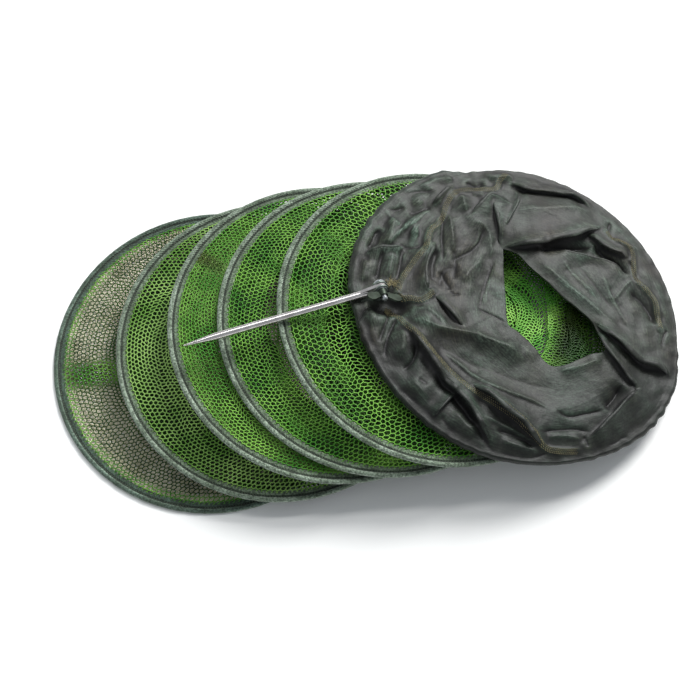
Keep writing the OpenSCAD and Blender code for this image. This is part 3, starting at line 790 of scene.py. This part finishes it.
# Lines below lie in the mouth hoop's plane: millimetres from its centre along +X and +Y as seen
# from straight above the plane.
# Each fold: height, width to the left and to the right of its line, how far it laps over to the
# right, and its line. A narrow right side with a lap makes one layer of cloth lie over the next.
FOLDS = [
    (4.5, 18, 1.4, 1.6, [(-30, 133), (-25, 114), (-23, 95), (-21, 67)]),
    (5, 13, 1.2, 1.6, [(-3, 125), (-17, 131), (-30, 136), (-42, 123), (-56, 104)]),
    (4.5, 14, 1.2, 1.8, [(-103, 6), (-93, -4), (-86, -12), (-77, -25), (-67, -38)]),
    (1.6, 14, 9, 0, [(-70, -36), (-51, -47), (-35, -51), (-19, -62)]),
    (7.5, 13, 1.3, 2.6, [
        (-69, -98), (-57, -105), (-44, -113), (-29, -126), (-13, -139), (-2, -151), (13, -164),
    ]),
    (7, 9, 1.6, 2.0, [
        (-133, -31), (-122, -54), (-107, -73), (-92, -97), (-80, -108), (-66, -126), (-54, -146),
        (-41, -168),
    ]),
    (-4.5, 3, 6, 0, [(-101, -86), (-90, -102), (-79, -116), (-67, -132), (-57, -146)]),
    (5.5, 12, 10, 0, [(-134, -24), (-116, -33), (-95, -39), (-67, -42), (-46, -49), (-24, -56), (-1, -68)]),
    (2.5, 4, 4, 0, [(-129, -17), (-110, -17), (-97, -27), (-89, -38)]),
    (-1, 8, 9, 0, [(-117, -48), (-85, -65), (-53, -80), (-10, -92), (34, -98)]),
    (2.6, 4, 1.8, 0, [(-99, -61), (-75, -79), (-54, -97), (-33, -105), (-1, -113), (23, -123)]),
    (6, 17, 1.3, 2.6, [(75, -11), (91, -26), (109, -42), (128, -55), (147, -59), (159, -64), (166, -73)]),
    (4, 8, 1.2, 1.6, [(79, -21), (84, -38), (92, -51), (101, -64), (112, -78), (118, -85), (118, -94)]),
    (5.5, 12, 1.3, 1.6, [(126, -86), (117, -94), (102, -108), (86, -126), (65, -146), (56, -146)]),
    (-5.5, 7, 6, 0, [(104, -84), (94, -100), (79, -116)]),
    (8, 17, 1.5, 3, [(-23, 70), (1, 74), (31, 83), (62, 94), (89, 106), (102, 113)]),
    (-6, 6, 6, 0, [(20, 75), (48, 78), (72, 81), (86, 81)]),
    (5, 6, 1.3, 1.8, [(-4, 162), (9, 154), (25, 151), (48, 150), (69, 148), (92, 137)]),
    (-4, 3, 4, 0, [(-5, 158), (7, 151), (16, 148)]),
    (3.5, 16, 14, 0, [(-7, 118), (29, 124), (65, 130), (96, 130)]),
    (2.0, 3, 1.2, 1.2, [(-19, 93), (-6, 118), (2, 137), (0, 152)]),
    (5, 8, 1.2, 1.6, [(79, 101), (96, 86), (110, 77), (129, 74)]),
    (-6, 4, 5, 0, [(87, 86), (100, 73), (116, 63), (126, 50)]),
    (3, 10, 1.5, 0.8, [(130, 46), (117, 58), (94, 66), (65, 71), (34, 74)]),
    (4.5, 8, 1.2, 1.6, [(-70, 150), (-78, 141), (-88, 129), (-99, 115)]),
    (-2.6, 2, 2.4, 0, [(-140, 128), (-117, 135), (-91, 139)]),
    (-3, 2, 2, 0, [(-153, 111), (-140, 109), (-127, 114)]),
    (2.2, 3, 3, 0, [(-152, 111), (-144, 98), (-134, 86)]),
    (-5, 2.4, 2.6, 0, [(-155, 111), (-165, 94), (-174, 75), (-180, 57), (-183, 37), (-186, 14)]),
    (-5, 5, 5, 0, [(-158, 85), (-163, 69), (-173, 55)]),
    (3.4, 5, 5, 0, [(-142, 99), (-145, 80), (-152, 60)]),
    (4.5, 8, 1.3, 1.2, [(-130, 62), (-143, 57), (-160, 55), (-177, 47)]),
    (3.2, 3, 3, 0, [(-135, 81), (-119, 98), (-99, 112)]),
    (2.6, 3, 3, 0, [(-153, 57), (-138, 77), (-124, 89), (-105, 106)]),
    (-3.4, 3.5, 3.5, 0, [(-155, 55), (-158, 38), (-163, 16)]),
    (3, 7, 7, 0, [(-172, 44), (-175, 28), (-178, 12)]),
    (2.6, 5, 5, 0, [(-144, 51), (-147, 36), (-151, 18)]),
    (-3.4, 2.2, 2.2, 0, [(-133, 60), (-136, 41), (-140, 18)]),
    (-2.6, 2, 2, 0, [(-137, 66), (-130, 60), (-119, 60), (-106, 66)]),
    (3.2, 7, 7, 0, [(-126, 79), (-113, 77)]),
    (5, 8, 1.3, 1.6, [(-100, 10), (-108, 7), (-111, 16), (-110, 33), (-105, 51), (-96, 70)]),
    (-3, 5, 5, 0, [(-102, 18), (-100, 41), (-94, 61)]),
    (-3, 2.6, 2.6, 0, [(-89, 112), (-88, 93), (-89, 72), (-88, 44)]),
    (3, 4, 4, 0, [(-81, 109), (-78, 82), (-77, 57)]),
    (-1.8, 2, 7, 0, [(-81, 46), (-66, 56), (-53, 66), (-44, 80), (-41, 97)]),
    (4.4, 6, 6, 0, [(-63, 137), (-63, 120), (-59, 109)]),
    (-2.2, 1.6, 1.6, 0, [(-83, 10), (-79, 5), (-72, 6)]),
    (-2.6, 3, 3, 0, [(-92, 35), (-86, 19), (-82, 9)]),
    (-1.6, 3, 4, 0, [(-77, 63), (-75, 41), (-79, 21)]),
    (-1.2, 1.2, 6, 0, [(-30, 54), (-37, 35), (-45, 13), (-51, -10)]),
    (-1.0, 1.2, 5, 0, [(-54, -8), (-34, -18), (-21, -25)]),
    (2.4, 9, 9, 0, [(-61, 88), (-49, 98), (-35, 86), (-34, 53)]),
    (1.8, 6, 5, 0, [(-69, 19), (-58, 38), (-42, 53)]),
    (-2.2, 8, 8, 0, [(-96, 9), (-87, 34), (-69, 41)]),
    (4.5, 10, 1.5, 1.2, [(-166, -11), (-176, -27), (-181, -40)]),
    (-3, 1.6, 1.6, 0, [(-182, -41), (-172, -49)]),
    (-4.4, 2.2, 2.2, 0, [(-147, -15), (-152, -30), (-157, -45), (-161, -58)]),
    (-4.4, 2.2, 2.2, 0, [(-139, -24), (-145, -35), (-151, -51), (-154, -65), (-152, -76)]),
    (2.6, 6, 6, 0, [(-165, -24), (-168, -43), (-163, -62)]),
    (3.4, 8, 8, 0, [(-138, -38), (-136, -58), (-143, -76)]),
    (3.2, 9, 9, 0, [(-132, -94), (-119, -108), (-106, -121)]),
    (2.6, 8, 7, 0, [(-87, -126), (-75, -140), (-61, -155)]),
    (-4, 1.8, 2.2, 0, [
        (-180, -42), (-173, -58), (-162, -75), (-150, -95), (-138, -108), (-123, -121), (-112, -130),
    ]),
    (-4.4, 2, 2.6, 0, [(-122, -53), (-122, -65), (-126, -77), (-136, -87)]),
    (-2, 2, 2, 0, [(-121, -96), (-111, -103)]),
    (3.5, 6, 1.2, 1.0, [(-108, -138), (-98, -127), (-90, -117), (-80, -105)]),
    (-2, 2, 2, 0, [(-97, -133), (-91, -145), (-82, -153)]),
    (-3, 2, 2, 0, [(-58, -141), (-53, -155), (-47, -166), (-37, -173)]),
    (-2, 1.6, 1.6, 0, [(-94, -157), (-79, -162), (-63, -166)]),
    (-4, 2.2, 2.8, 0, [(-42, -147), (-25, -150), (-10, -156), (2, -161)]),
    (-4, 1.6, 2, 0, [(-39, -170), (-22, -173), (-5, -174), (17, -167)]),
    (3, 2.6, 2.4, 0, [(-55, -133), (-35, -142), (-14, -151), (8, -162)]),
    (2.4, 3, 2.6, 0, [(-36, -157), (-15, -164), (6, -168)]),
    (-3, 2, 2, 0, [(3, -148), (21, -144), (46, -140), (65, -142)]),
    (-3, 1.5, 1.5, 0, [(56, -146), (60, -158)]),
    (2.6, 3.5, 3.5, 0, [(13, -152), (35, -149), (54, -151)]),
    (-2.8, 2, 2.2, 0, [(23, -119), (38, -127), (60, -122), (81, -116)]),
    (2, 5, 6, 0, [(31, -77), (59, -68), (84, -57)]),
    (-3, 1.5, 1.6, 0, [(154, -91), (150, -101), (139, -114), (119, -135)]),
    (-3, 1.5, 1.6, 0, [(110, -145), (100, -144), (92, -150), (79, -155)]),
    (-3, 1.6, 1.8, 0, [(166, -11), (159, -23), (155, -36)]),
    (-3, 2.6, 2.6, 0, [(113, 122), (109, 107), (114, 93)]),
    (2.4, 3, 3, 0, [(112, 97), (125, 88), (145, 89)]),
    (-3, 2.6, 2.6, 0, [(128, 71), (133, 57), (136, 42)]),
    (2.2, 3, 3, 0, [(139, 43), (150, 30), (155, 11), (155, -9)]),
    (-4, 7, 7, 0, [(122, 32), (137, 21), (147, 6), (150, -10)]),
    (1.6, 2.6, 2.6, 0, [(94, 19), (105, 19), (121, 38), (133, 47)]),
    (-1.4, 2, 2, 0, [(100, 35), (105, 19), (114, 5)]),
    (1.6, 4, 4, 0, [(47, 61), (63, 40), (84, 17)]),
    (-1.2, 3, 3, 0, [(64, 61), (80, 35), (102, 4)]),
    (1.4, 4, 4, 0, [(91, 53), (101, 19), (120, -23)]),
    (2.4, 6, 8, 0, [(18, 58), (45, 33), (77, 6), (109, -24)]),
    (4, 5, 6, 0, [(-111, 142), (-92, 155), (-69, 158)]),
    (-3, 4, 3, 0, [(-58, 157), (-44, 150), (-35, 157)]),
    (4, 5, 5, 0, [(-31, 160), (-14, 168), (1, 164)]),
    (2.4, 4, 4, 0, [(-53, 137), (-34, 138)]),
    (2.6, 5, 5, 0, [(-122, 117), (-105, 124)]),
    (-2.4, 3, 3, 0, [(-126, 105), (-114, 108), (-98, 117)]),
]
# The gap's edge, and the double-stitched seam between the outer band and the skirt.
GAP_EDGE = [
    (-20, 68), (-21, 37), (-21, 6), (-21, -24), (-11, -33), (4, -46), (13, -59), (19, -67), (27, -71),
    (36, -70), (44, -67), (59, -59), (71, -53), (84, -50), (87, -42), (82, -30), (75, -13), (59, 3),
    (43, 16), (27, 32), (11, 48), (-5, 64),
]
SEAMS = [
    [
        (-8, 171), (-17, 160), (-23, 148), (-41, 145), (-62, 142), (-74, 133), (-82, 119), (-86, 105),
        (-92, 93), (-101, 84), (-105, 72), (-109, 59), (-120, 44), (-129, 30), (-137, 15), (-140, 3),
    ],
    [
        (-153, -14), (-143, -22), (-134, -34), (-123, -48), (-112, -62), (-100, -75), (-86, -90),
        (-71, -103), (-55, -112), (-39, -121), (-19, -135), (-2, -151), (13, -163), (30, -165),
        (49, -163),
    ],
    [
        (105, 106), (111, 96), (123, 92), (133, 83), (133, 65), (134, 48), (144, 35), (153, 23),
        (155, 5), (156, -13),
    ],
    [(-141, -1), (-135, -4), (-126, -4), (-116, -6), (-107, 0), (-101, 7)],
]
# How far the loose sleeve stands out from the hoop's centre, at bearings round the hoop.
SLEEVE_OUT = [
    (0, 179.5), (45, 179.5), (60, 179.5), (84, 181), (96, 180), (103, 179), (109, 181), (116, 190),
    (128, 191), (142, 193.5), (158, 195), (172, 193.5), (180, 191), (187, 187), (196, 185), (205, 182.5),
    (225, 181), (240, 181), (255, 180.5), (270, 179), (285, 179.5), (303, 184), (318, 188), (336, 187),
    (346, 182), (353, 179.5), (360, 179.5),
]
# Broad flaps that lie smooth, with few creases, each as a band: middle, half sizes and bearing.
CALM = [((30, -98), 80, 34, 0), ((42, 112), 70, 30, 0), ((95, 25), 60, 30, 0)]
# The sleeve's section is an oval loop round the wire: its inner end, its height, and the angles at
# which it is drawn, up to where its top gives way to the cloth.
SLEEVE_IN = 174.0
SLEEVE_TALL = 4.6
SLEEVE_ANGLES = [-150, -125, -100, -75, -50, -25, 0, 22, 44]
SLEEVE_TOP = 62.0
# Past this radius the sleeve is loose: it frills, and it is taller where it stands out further. Its
# top is wrinkled, and pressed down below the spike.
LOOSE_FROM = 179.2
FRILL = 0.9
TALLER = 0.12
WRINKLE = 0.5
PRESSED_DOWN = 1.6
# The cloth is a low dome: its height at the rim, and how far it rises over the outermost stretch.
DOME_R = 176.0
DOME_LOW = 5.2
DOME_RISE = 7.5
DOME_RISE_OVER = 52.0
# How high it stands in broad and small hollows, and in broad and small facets. Small facets only
# crease it past this radius. On the smooth flaps it loses this share of its creases.
HOLLOWS, SMALL_HOLLOWS = 0.5, 0.4
FACETS, SMALL_FACETS = 1.9, 0.45
SMALL_FROM = 80.0
CALM_SHARE = 0.75
# A seam is a flat ridge in the cloth. The cloth covers the wire to this height, and meets the
# sleeve over this stretch.
SEAM_HIGH, SEAM_HALF = 1.3, 4.2
WIRE_HIGH, WIRE_HALF = 3.2, 3.6
JOIN_OVER = 15.0
# What the cloth keeps clear of: the spike over the rim, and the wing nut, which stands in a hollow.
SPIKE_BEARING = 182.0
UNDER_SPIKE = 5.5
NUT_HOLLOW = np.array([-149.0, -14.0])
NUT_HOLLOW_HALF = np.array([20.0, 11.0])
UNDER_NUT = 1.5
GAP_MIDDLE = np.array([30.0, 0.0])
COLLAR_STEPS = 760
COLLAR_ROWS = 104
FOLD_SCALE = 1.5
LAP_SCALE = 1.6
# A lap's strip: the spacing of its cross-sections along the fold and of its points across. It grows
# out of the fold at distances to the right and heights over the cloth. Then it runs out at shares of
# the lap plus distances, and heights over the fold's crest.
STRIP_STEP = [1.3, 0.6]
LAP_ROOT = [(-3.2, -0.55), (-1.8, -0.05)]
LAP_SECTION = [
    (0, 0.0, 0.14), (0.5, 0.2, 0.1), (0.85, 0.3, -0.25), (1, 0.35, -0.9),
    (1, 0.1, -1.6), (0.8, -0.2, -2.1), (0.3, -0.4, -2.5), (-0.3, -1.0, -2.9),
]
# The hem at the gap: how far past its edge each line lies, and how far below it.
HEM = [(0.5, 0.5), (0.5, 1.3), (-0.2, 2.0), (-3.0, 2.3), (-6.0, 2.2)]
# Painted light on the creases is read from how far the cloth stands over its height blurred over so
# many steps of the grid, in shares of so many millimetres: crests are painted paler, as a highlight,
# and hollows darker, as shade.
CREASE_LIGHT = [(2, 0.5), (8, 4.5)]
# The cloth is painted darker, as shade, past this radius and this far to the front of the hoop's centre.
FRONT_SHADE_R, FRONT_SHADE_R_OVER = 95.0, 45.0
FRONT_SHADE_FROM, FRONT_SHADE_FROM_OVER = 25.0, 50.0
CLOTH_THICK = 0.4


def smooth_line(points, steps=9):
    """Catmull-Rom curve through the points: cubic pieces whose slope at a point is half the step
    between its two neighbours."""
    p = np.asarray(points, float)
    p = np.vstack([2 * p[0] - p[1], p, 2 * p[-1] - p[-2]])
    t = np.linspace(0, 1, steps, endpoint=False)[:, None]
    pieces = [
        0.5 * (2 * b + (c - a) * t + (2 * a - 5 * b + 4 * c - d) * t**2 + (3 * b - a - 3 * c + d) * t**3)
        for a, b, c, d in zip(p[:-3], p[1:-2], p[2:-1], p[3:])
    ]
    return np.vstack(pieces + [p[-2:-1]])


def walk(line, far):
    """The places on a line in the plane at those distances along it."""
    length = distances(line)
    return np.stack([np.interp(far, length, line[:, n]) for n in (0, 1)], -1)


def rightward(ahead):
    """Unit directions to the right of directions in the plane."""
    ahead = unit(ahead)
    return np.stack([ahead[:, 1], -ahead[:, 0]], -1)


def beside_line(place, line):
    """For each place, signed distance to a line, positive on its right, and the share of the line's
    length at which it is nearest."""
    along = np.diff(line, axis=0)
    before = distances(line)
    best = np.full(len(place), 1e9)
    signed, share = np.zeros(len(place)), np.zeros(len(place))
    for start, step, right, since in zip(line, along, rightward(along), before):
        rel = place - start
        t = np.clip(rel @ step / (step @ step), 0, 1)
        away = rel - t[:, None] * step
        far = np.hypot(away[:, 0], away[:, 1])
        nearer = far < best - 1e-9
        best = np.where(nearer, far, best)
        signed = np.where(nearer, np.where(away @ right >= 0, far, -far), signed)
        share = np.where(nearer, (since + t * math.hypot(*step)) / before[-1], share)
    return signed, share


def facets(place, seed, size, count=5):
    """Sum of zigzag waves of random directions with lengths near size, each bent a little and faded in
    and out over broad patches: flat facets between long straight creases, about -1 to 1."""
    rng = np.random.default_rng(seed)
    total = 0
    for n in range(count):
        c, s = turn(rng.uniform(0, 360))
        waves = (place[:, 0] * c + place[:, 1] * s) / (size * rng.uniform(0.7, 1.5)) + rng.uniform(0, 1)
        waves = waves + 0.12 * swell(place, 10 * seed + n, 90)
        zigzag = 4 * np.abs(waves % 1 - 0.5) - 1
        total = total + zigzag * np.clip(0.5 + 0.7 * swell(place, 10 * seed + n + 5, 80), 0, 1.3)
    return total / math.sqrt(count)


def beside_spike(a):
    """How many degrees bearings are from the spike's, -180 to 180."""
    return ((a - SPIKE_BEARING) % 360 + 180) % 360 - 180


def sleeve_edge(a):
    """The sleeve at bearing a: how far it stands out, with a frill where it is loose, half its width,
    its height, how much its top is wrinkled, and the radius and height of its top's inner end."""
    out = np.interp(a % 360, *np.array(SLEEVE_OUT, float).T)
    out = out + np.clip(out - LOOSE_FROM, 0, 1) * FRILL * ripple(a, 5, 30, 80, 9)
    wide = (out - SLEEVE_IN) / 2
    tall = SLEEVE_TALL + TALLER * (out - 180) - PRESSED_DOWN * np.exp(-beside_spike(a) ** 2 / 60)
    wrinkle = WRINKLE * ripple(a, 6, 25, 70, 9)
    c, s = turn(SLEEVE_TOP)
    return out, wide, tall, wrinkle, out - wide * (1 - c), tall * s + wrinkle


def fold_height(place, line, size, left, right):
    """Height of one fold at those places: e to the power of minus the distance from its line, in
    widths, to the power 1.1, faded over its ends. Narrow folds are lower."""
    broad = max(left, right)
    away, share = beside_line(place, line)
    ends = ease(np.minimum(share, 1 - share) / np.clip(1.7 * broad / distances(line)[-1], 0.2, 0.5))
    steep = FOLD_SCALE * min(1.0, (broad + 2.5) / 9)
    return steep * size * ends * np.exp(-np.abs(away / np.where(away < 0, left, right)) ** 1.1)


def cloth_relief(place):
    """Height over the mouth plane of the cloth at places in the plane: a low dome that falls to the
    hoop, plus every fold, plus fine creases. It meets the sleeve's top, covers the wire, and
    keeps below the spike and round the wing nut."""
    r, a = polar(place)
    height = DOME_LOW + DOME_RISE * np.clip((DOME_R - r) / DOME_RISE_OVER, 0, 1) ** 0.8
    height = height + HOLLOWS * swell(place, 3, 60)
    creased = 1 - CALM_SHARE * sum(band(place, *calm) for calm in CALM)
    outer = ease((r - SMALL_FROM) / 40)
    small = SMALL_HOLLOWS * swell(place, 8, 22) + SMALL_FACETS * outer * facets(place, 12, 30, 7)
    height = height + creased * (FACETS * facets(place, 4, 74) + small)
    for size, left, right, _, points in FOLDS:
        line = smooth_line(points)
        reach = 4.5 * max(left, right) + 4
        near = np.all((place > line.min(axis=0) - reach) & (place < line.max(axis=0) + reach), axis=1)
        height[near] += fold_height(place[near], line, size, left, right)
    for seam in SEAMS:
        height = height + SEAM_HIGH * patch(beside_line(place, smooth_line(seam))[0] / SEAM_HALF)
    *_, edge_r, edge_high = sleeve_edge(a)
    join = ease((edge_r - r) / JOIN_OVER)
    height = edge_high * (1 - join) + height * join
    height = np.maximum(height, WIRE_HIGH * patch((r - HOOP_R) / WIRE_HALF))
    under_spike = patch(beside_spike(a) / 4.5) * ease((r - 140) / 12)
    height = height - under_spike * np.maximum(height - UNDER_SPIKE, 0)
    hollow = patch(polar((place - NUT_HOLLOW) / NUT_HOLLOW_HALF)[0])
    return np.maximum(height - hollow * np.maximum(height - UNDER_NUT, 0), -1.0)


def at_mouth(place, height):
    """Points in space at places in the mouth plane and heights above it."""
    return hoop_point(MOUTH, *polar(place), height)


def gap_rim(directions):
    """Where rays from the gap's middle meet its edge: the edge is read as radius by direction."""
    far, bearing = polar(smooth_line(GAP_EDGE + GAP_EDGE[:1], 12)[:-1] - GAP_MIDDLE)
    order = np.argsort(bearing % 360)
    r = np.interp(directions % 360, bearing[order] % 360, far[order], period=360)
    c, s = turn(directions)
    return GAP_MIDDLE + np.stack([r * c, r * s], -1)


def blurred(height, reach):
    """The heights of a grid that closes on itself along its rows, each averaged with its neighbours
    up to that many steps away both ways."""
    for axis, mode in ((0, "wrap"), (1, "edge")):
        pad = [(reach, reach) if n == axis else (0, 0) for n in (0, 1)]
        padded = np.pad(height, pad, mode=mode)
        span = height.shape[axis]
        height = sum(np.take(padded, range(n, n + span), axis=axis) for n in range(2 * reach + 1))
        height = height / (2 * reach + 1)
    return height


def lap_strip(fold):
    """The turned edge of a layer that lies over the next: it grows out of the fold's crest, stands out
    over the lower layer, and curls back under. Returns a grid of points, line by cross-section."""
    size, _, _, lap, points = fold
    line = smooth_line(points, 12)
    whole = distances(line)[-1]
    far = np.linspace(0, whole, int(whole / STRIP_STEP[0]) + 2)
    line = walk(line, far)
    side = rightward(np.gradient(line, axis=0))
    share = far / whole
    ends = ease(np.minimum(share, 1 - share) * 5)
    lap = lap * LAP_SCALE * ends * (1 + 0.25 * np.sin(far / 7 + size))
    crest = cloth_relief(line)
    rows = []
    for away, drop in LAP_ROOT:
        place = line + away * side
        rows.append(at_mouth(place, cloth_relief(place) + drop - 1.2 * (1 - ends)))
    for reach, more, drop in LAP_SECTION:
        place = line + (reach * lap + more * ends)[:, None] * side
        rows.append(at_mouth(place, crest + drop * (0.3 + 0.7 * ends) - 1.6 * (1 - ends)))
    return np.stack(rows, 1)


def collar_sheet():
    """The collar's one sheet as a grid: from inside the sleeve, round under and outside the hoop wire,
    over its top and in over the mouth to the gap's edge, where it is turned down in a narrow hem.
    Also how much painted light each point takes: creases are painted pale along their crests, as a
    highlight, and dark in the hollows beside them, as shade, as their height over the blurred height tells."""
    a = np.arange(COLLAR_STEPS) * 360 / COLLAR_STEPS
    out, wide, tall, wrinkle, edge_r, _ = sleeve_edge(a)
    loops = []
    for angle in np.radians(SLEEVE_ANGLES):
        high = tall * math.sin(angle) + wrinkle * (angle > 0)
        loops.append(hoop_point(MOUTH, out - wide * (1 - math.cos(angle)), a, high))
    start = edge_r[:, None] * np.stack(turn(a), -1)
    finish = gap_rim(polar(start - GAP_MIDDLE)[1])
    share = np.linspace(0, 1, COLLAR_ROWS)
    flat = start[:, None] + (finish - start)[:, None] * share[None, :, None]
    height = cloth_relief(flat.reshape(-1, 2)).reshape(COLLAR_STEPS, -1)
    toward = unit(finish - start)
    hem = [at_mouth(finish + toward * ahead, height[:, -1] - down) for ahead, down in HEM]
    crest = sum((height - blurred(height, reach)) / full for reach, full in CREASE_LIGHT)
    wear_and_painted_light = np.pad(crest, ((0, 0), (len(loops), len(hem))))
    return np.concatenate([np.stack(loops, 1), at_mouth(flat, height), np.stack(hem, 1)], 1), wear_and_painted_light


def collar():
    """The sheet, and the turned edges of its layers as strips that grow out of its folds."""
    sheet, wear_and_painted_light = collar_sheet()
    faces, corners = grid_faces(COLLAR_STEPS, sheet.shape[1], True, False)
    across = np.linalg.norm(np.diff(sheet, axis=1), axis=2).mean(axis=0)
    across = np.concatenate([[0], np.cumsum(across)])
    uv = [np.stack([corners[..., 0] * HOOP_ROUND / COLLAR_STEPS, across[corners[..., 1]]], -1)]
    all_points, all_faces, count = [sheet.reshape(-1, 3)], [faces], sheet[..., 0].size
    for fold in FOLDS:
        if fold[3]:
            strip = lap_strip(fold)
            faces, corners = grid_faces(*strip.shape[:2])
            all_points.append(strip.reshape(-1, 3))
            all_faces.append(faces[:, ::-1] + count)
            uv.append(corners[:, ::-1] * STRIP_STEP)
            count += strip[..., 0].size
    points, faces = np.concatenate(all_points), np.concatenate(all_faces)
    points[:, 2] = np.maximum(points[:, 2], 0.5)
    off = points[:, :2] - hoop_frame(MOUTH)[0][:2]
    # Painted shade over the front of the outer band.
    front_shade = ease((polar(off)[0] - FRONT_SHADE_R) / FRONT_SHADE_R_OVER) * ease((-off[:, 1] - FRONT_SHADE_FROM) / FRONT_SHADE_FROM_OVER)
    # Painted highlight on crease crests and painted shade in the hollows; the lap strips take the middle.
    wear_and_painted_light = np.clip(0.5 + 0.5 * np.pad(wear_and_painted_light.ravel(), (0, len(points) - wear_and_painted_light.size)), 0, 1)
    marks = {"front_shade": front_shade, "wear_and_painted_light": wear_and_painted_light}
    piece = add_piece("collar_folded", points, faces, NYLON, np.concatenate(uv), marks=marks)
    skin = piece.modifiers.new("cloth", "SOLIDIFY")
    skin.thickness, skin.offset = CLOTH_THICK * MM, -1.0
    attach(piece, "mouth")
    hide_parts("collar_cloth", "collar_casing")


def cloth_threads(name, starts, ends, width):
    """Lengths of khaki thread whose ends are lists of a place in the mouth plane and a height over the
    cloth there."""
    placed = []
    for pairs in (starts, ends):
        place, lift = (np.concatenate(values) for values in zip(*pairs))
        placed.append(at_mouth(place, cloth_relief(place) + lift))
    up = hoop_frame(MOUTH)[3]
    stitch_row(name, *placed, up, width, 0.6, KHAKI_THREAD, "mouth", "collar")


# Rows of stitches along a seam: each one's distance to the right of it, where along it the row
# begins, and how far its stitches slant to either side. Then a stitch's length, the spacing, and
# how far over the cloth they lie.
STITCH_ROWS = [(-2.4, 0.0, 0.0), (-0.9, 1.1, 0.5), (0.9, 0.4, 0.5), (2.4, 1.4, 0.0)]
SEAM_STITCH = 1.6
SEAM_STEP = 2.4
SEAM_LIFT = 0.25


def seam_stitches():
    """Khaki stitches in four rows along each seam, lying on the cloth where it runs."""
    starts, ends = [], []
    for seam in SEAMS:
        line = smooth_line(seam, 12)
        for offset, begin, slant in STITCH_ROWS:
            far = np.arange(begin, distances(line)[-1] - SEAM_STITCH - 0.2, SEAM_STEP)
            here, there = walk(line, far), walk(line, far + SEAM_STITCH)
            side, lift = rightward(there - here), np.full(len(far), SEAM_LIFT)
            starts.append((here + side * (offset - slant), lift))
            ends.append((there + side * (offset + slant), lift))
    cloth_threads("collar_stitches", starts, ends, 0.75)


# Where the seam's thread was cut off beside the bracket: middle, spread and number of loose ends.
TUFTS = [((-146.5, 14.0), 8.0, 48), ((-150.5, -18.5), 5.0, 22)]


def thread_tufts():
    """Loose ends of thread, 2.5 to 6 mm long, that start close together and stand out all ways."""
    rng = np.random.default_rng(31)
    starts, ends = [], []
    for place, wide, count in TUFTS:
        middle = np.array(place) + rng.normal(0, 0.3, (count, 2)) * wide
        bearing, size = rng.uniform(0, 360, count), rng.uniform(2.5, 6.0, count)
        lift = 0.3 + rng.uniform(0, 1.6, count)
        starts.append((middle, lift))
        ends.append((middle + size[:, None] * np.stack(turn(bearing), -1), lift * 1.6))
    cloth_threads("collar_thread_tufts", starts, ends, 0.7)


collar()
seam_stitches()
thread_tufts()

# ---------------------------------------------------------------- floor, lights and camera

FLOOR_HALF = 12000.0
FLOOR_LOW = 0.05


def paper_floor():
    """A sheet of matt white paper that lies a hair below the ground plane and runs to the horizon."""
    material = new_material("matt_paper_floor", {"Base Color": colour("#f4f4f2"), "Roughness": 0.9})[0]
    corners = np.array([[-1, -1, 0], [1, -1, 0], [1, 1, 0], [-1, 1, 0]]) * FLOOR_HALF - [0, 0, FLOOR_LOW]
    add_piece("floor", corners, np.array([[0, 1, 2, 3]]), material, smooth=False)


def studio_sky():
    """A white studio: pale walls at the horizon, and a dimmer ceiling."""
    world = bpy.data.worlds.new("studio")
    world.use_nodes = True
    tree = world.node_tree
    direction = add_node(tree, COORDINATES).outputs["Generated"]
    height = add_node(tree, "ShaderNodeSeparateXYZ", {}, {"Vector": direction}).outputs["Z"]
    walls = add_node(tree, RAMP, {}, {"Fac": height}, [(0.02, "#f3f5f7"), (0.5, "#a7acb1")])
    background = tree.nodes["Background"]
    tree.links.new(walls.outputs["Color"], background.inputs["Color"])
    background.inputs["Strength"].default_value = 0.9
    bpy.context.scene.world = world


def add_light(name, kind, place, power, settings):
    """A light at a place in metres, facing the middle of the floor."""
    data = bpy.data.lights.new(name, kind)
    data.energy = power
    for key, value in settings.items():
        setattr(data, key, value)
    light = bpy.data.objects.new(name, data)
    light.location = place
    light.rotation_euler = (-Vector(place)).to_track_quat("-Z", "Y").to_euler()
    bpy.context.scene.collection.objects.link(light)


# The camera looks down on this point at 68 degrees, from 1.4 m away.
CAMERA_AIM = np.array([-19.0, -10.0, 0.0])
CAMERA_FAR = 1400.0
CAMERA_UP = 68.0
CAMERA_LENS = 64.92


def add_camera():
    """The scene's camera, on a circle round its aim."""
    data = bpy.data.cameras.new("camera")
    data.sensor_width = 36.0
    data.lens = CAMERA_LENS
    data.clip_start, data.clip_end = 0.05, 20
    camera = bpy.data.objects.new("camera", data)
    c, s = turn(CAMERA_UP)
    camera.location = (CAMERA_AIM + CAMERA_FAR * np.array([0.0, -c, s])) * MM
    ahead = Vector(CAMERA_AIM * MM) - camera.location
    camera.rotation_euler = ahead.to_track_quat("-Z", "Y").to_euler()
    bpy.context.scene.collection.objects.link(camera)
    bpy.context.scene.camera = camera


paper_floor()
studio_sky()
add_light("key", "SUN", (0.95, 1.5, 1.35), 4.2, {"angle": math.radians(26)})
add_light("overhead", "AREA", (-0.1, 0.75, 1.9), 12.0, {"shape": "RECTANGLE", "size": 1.6, "size_y": 0.3})
add_camera()
bpy.context.scene.view_settings.view_transform = "Standard"

bpy.context.view_layer.update()
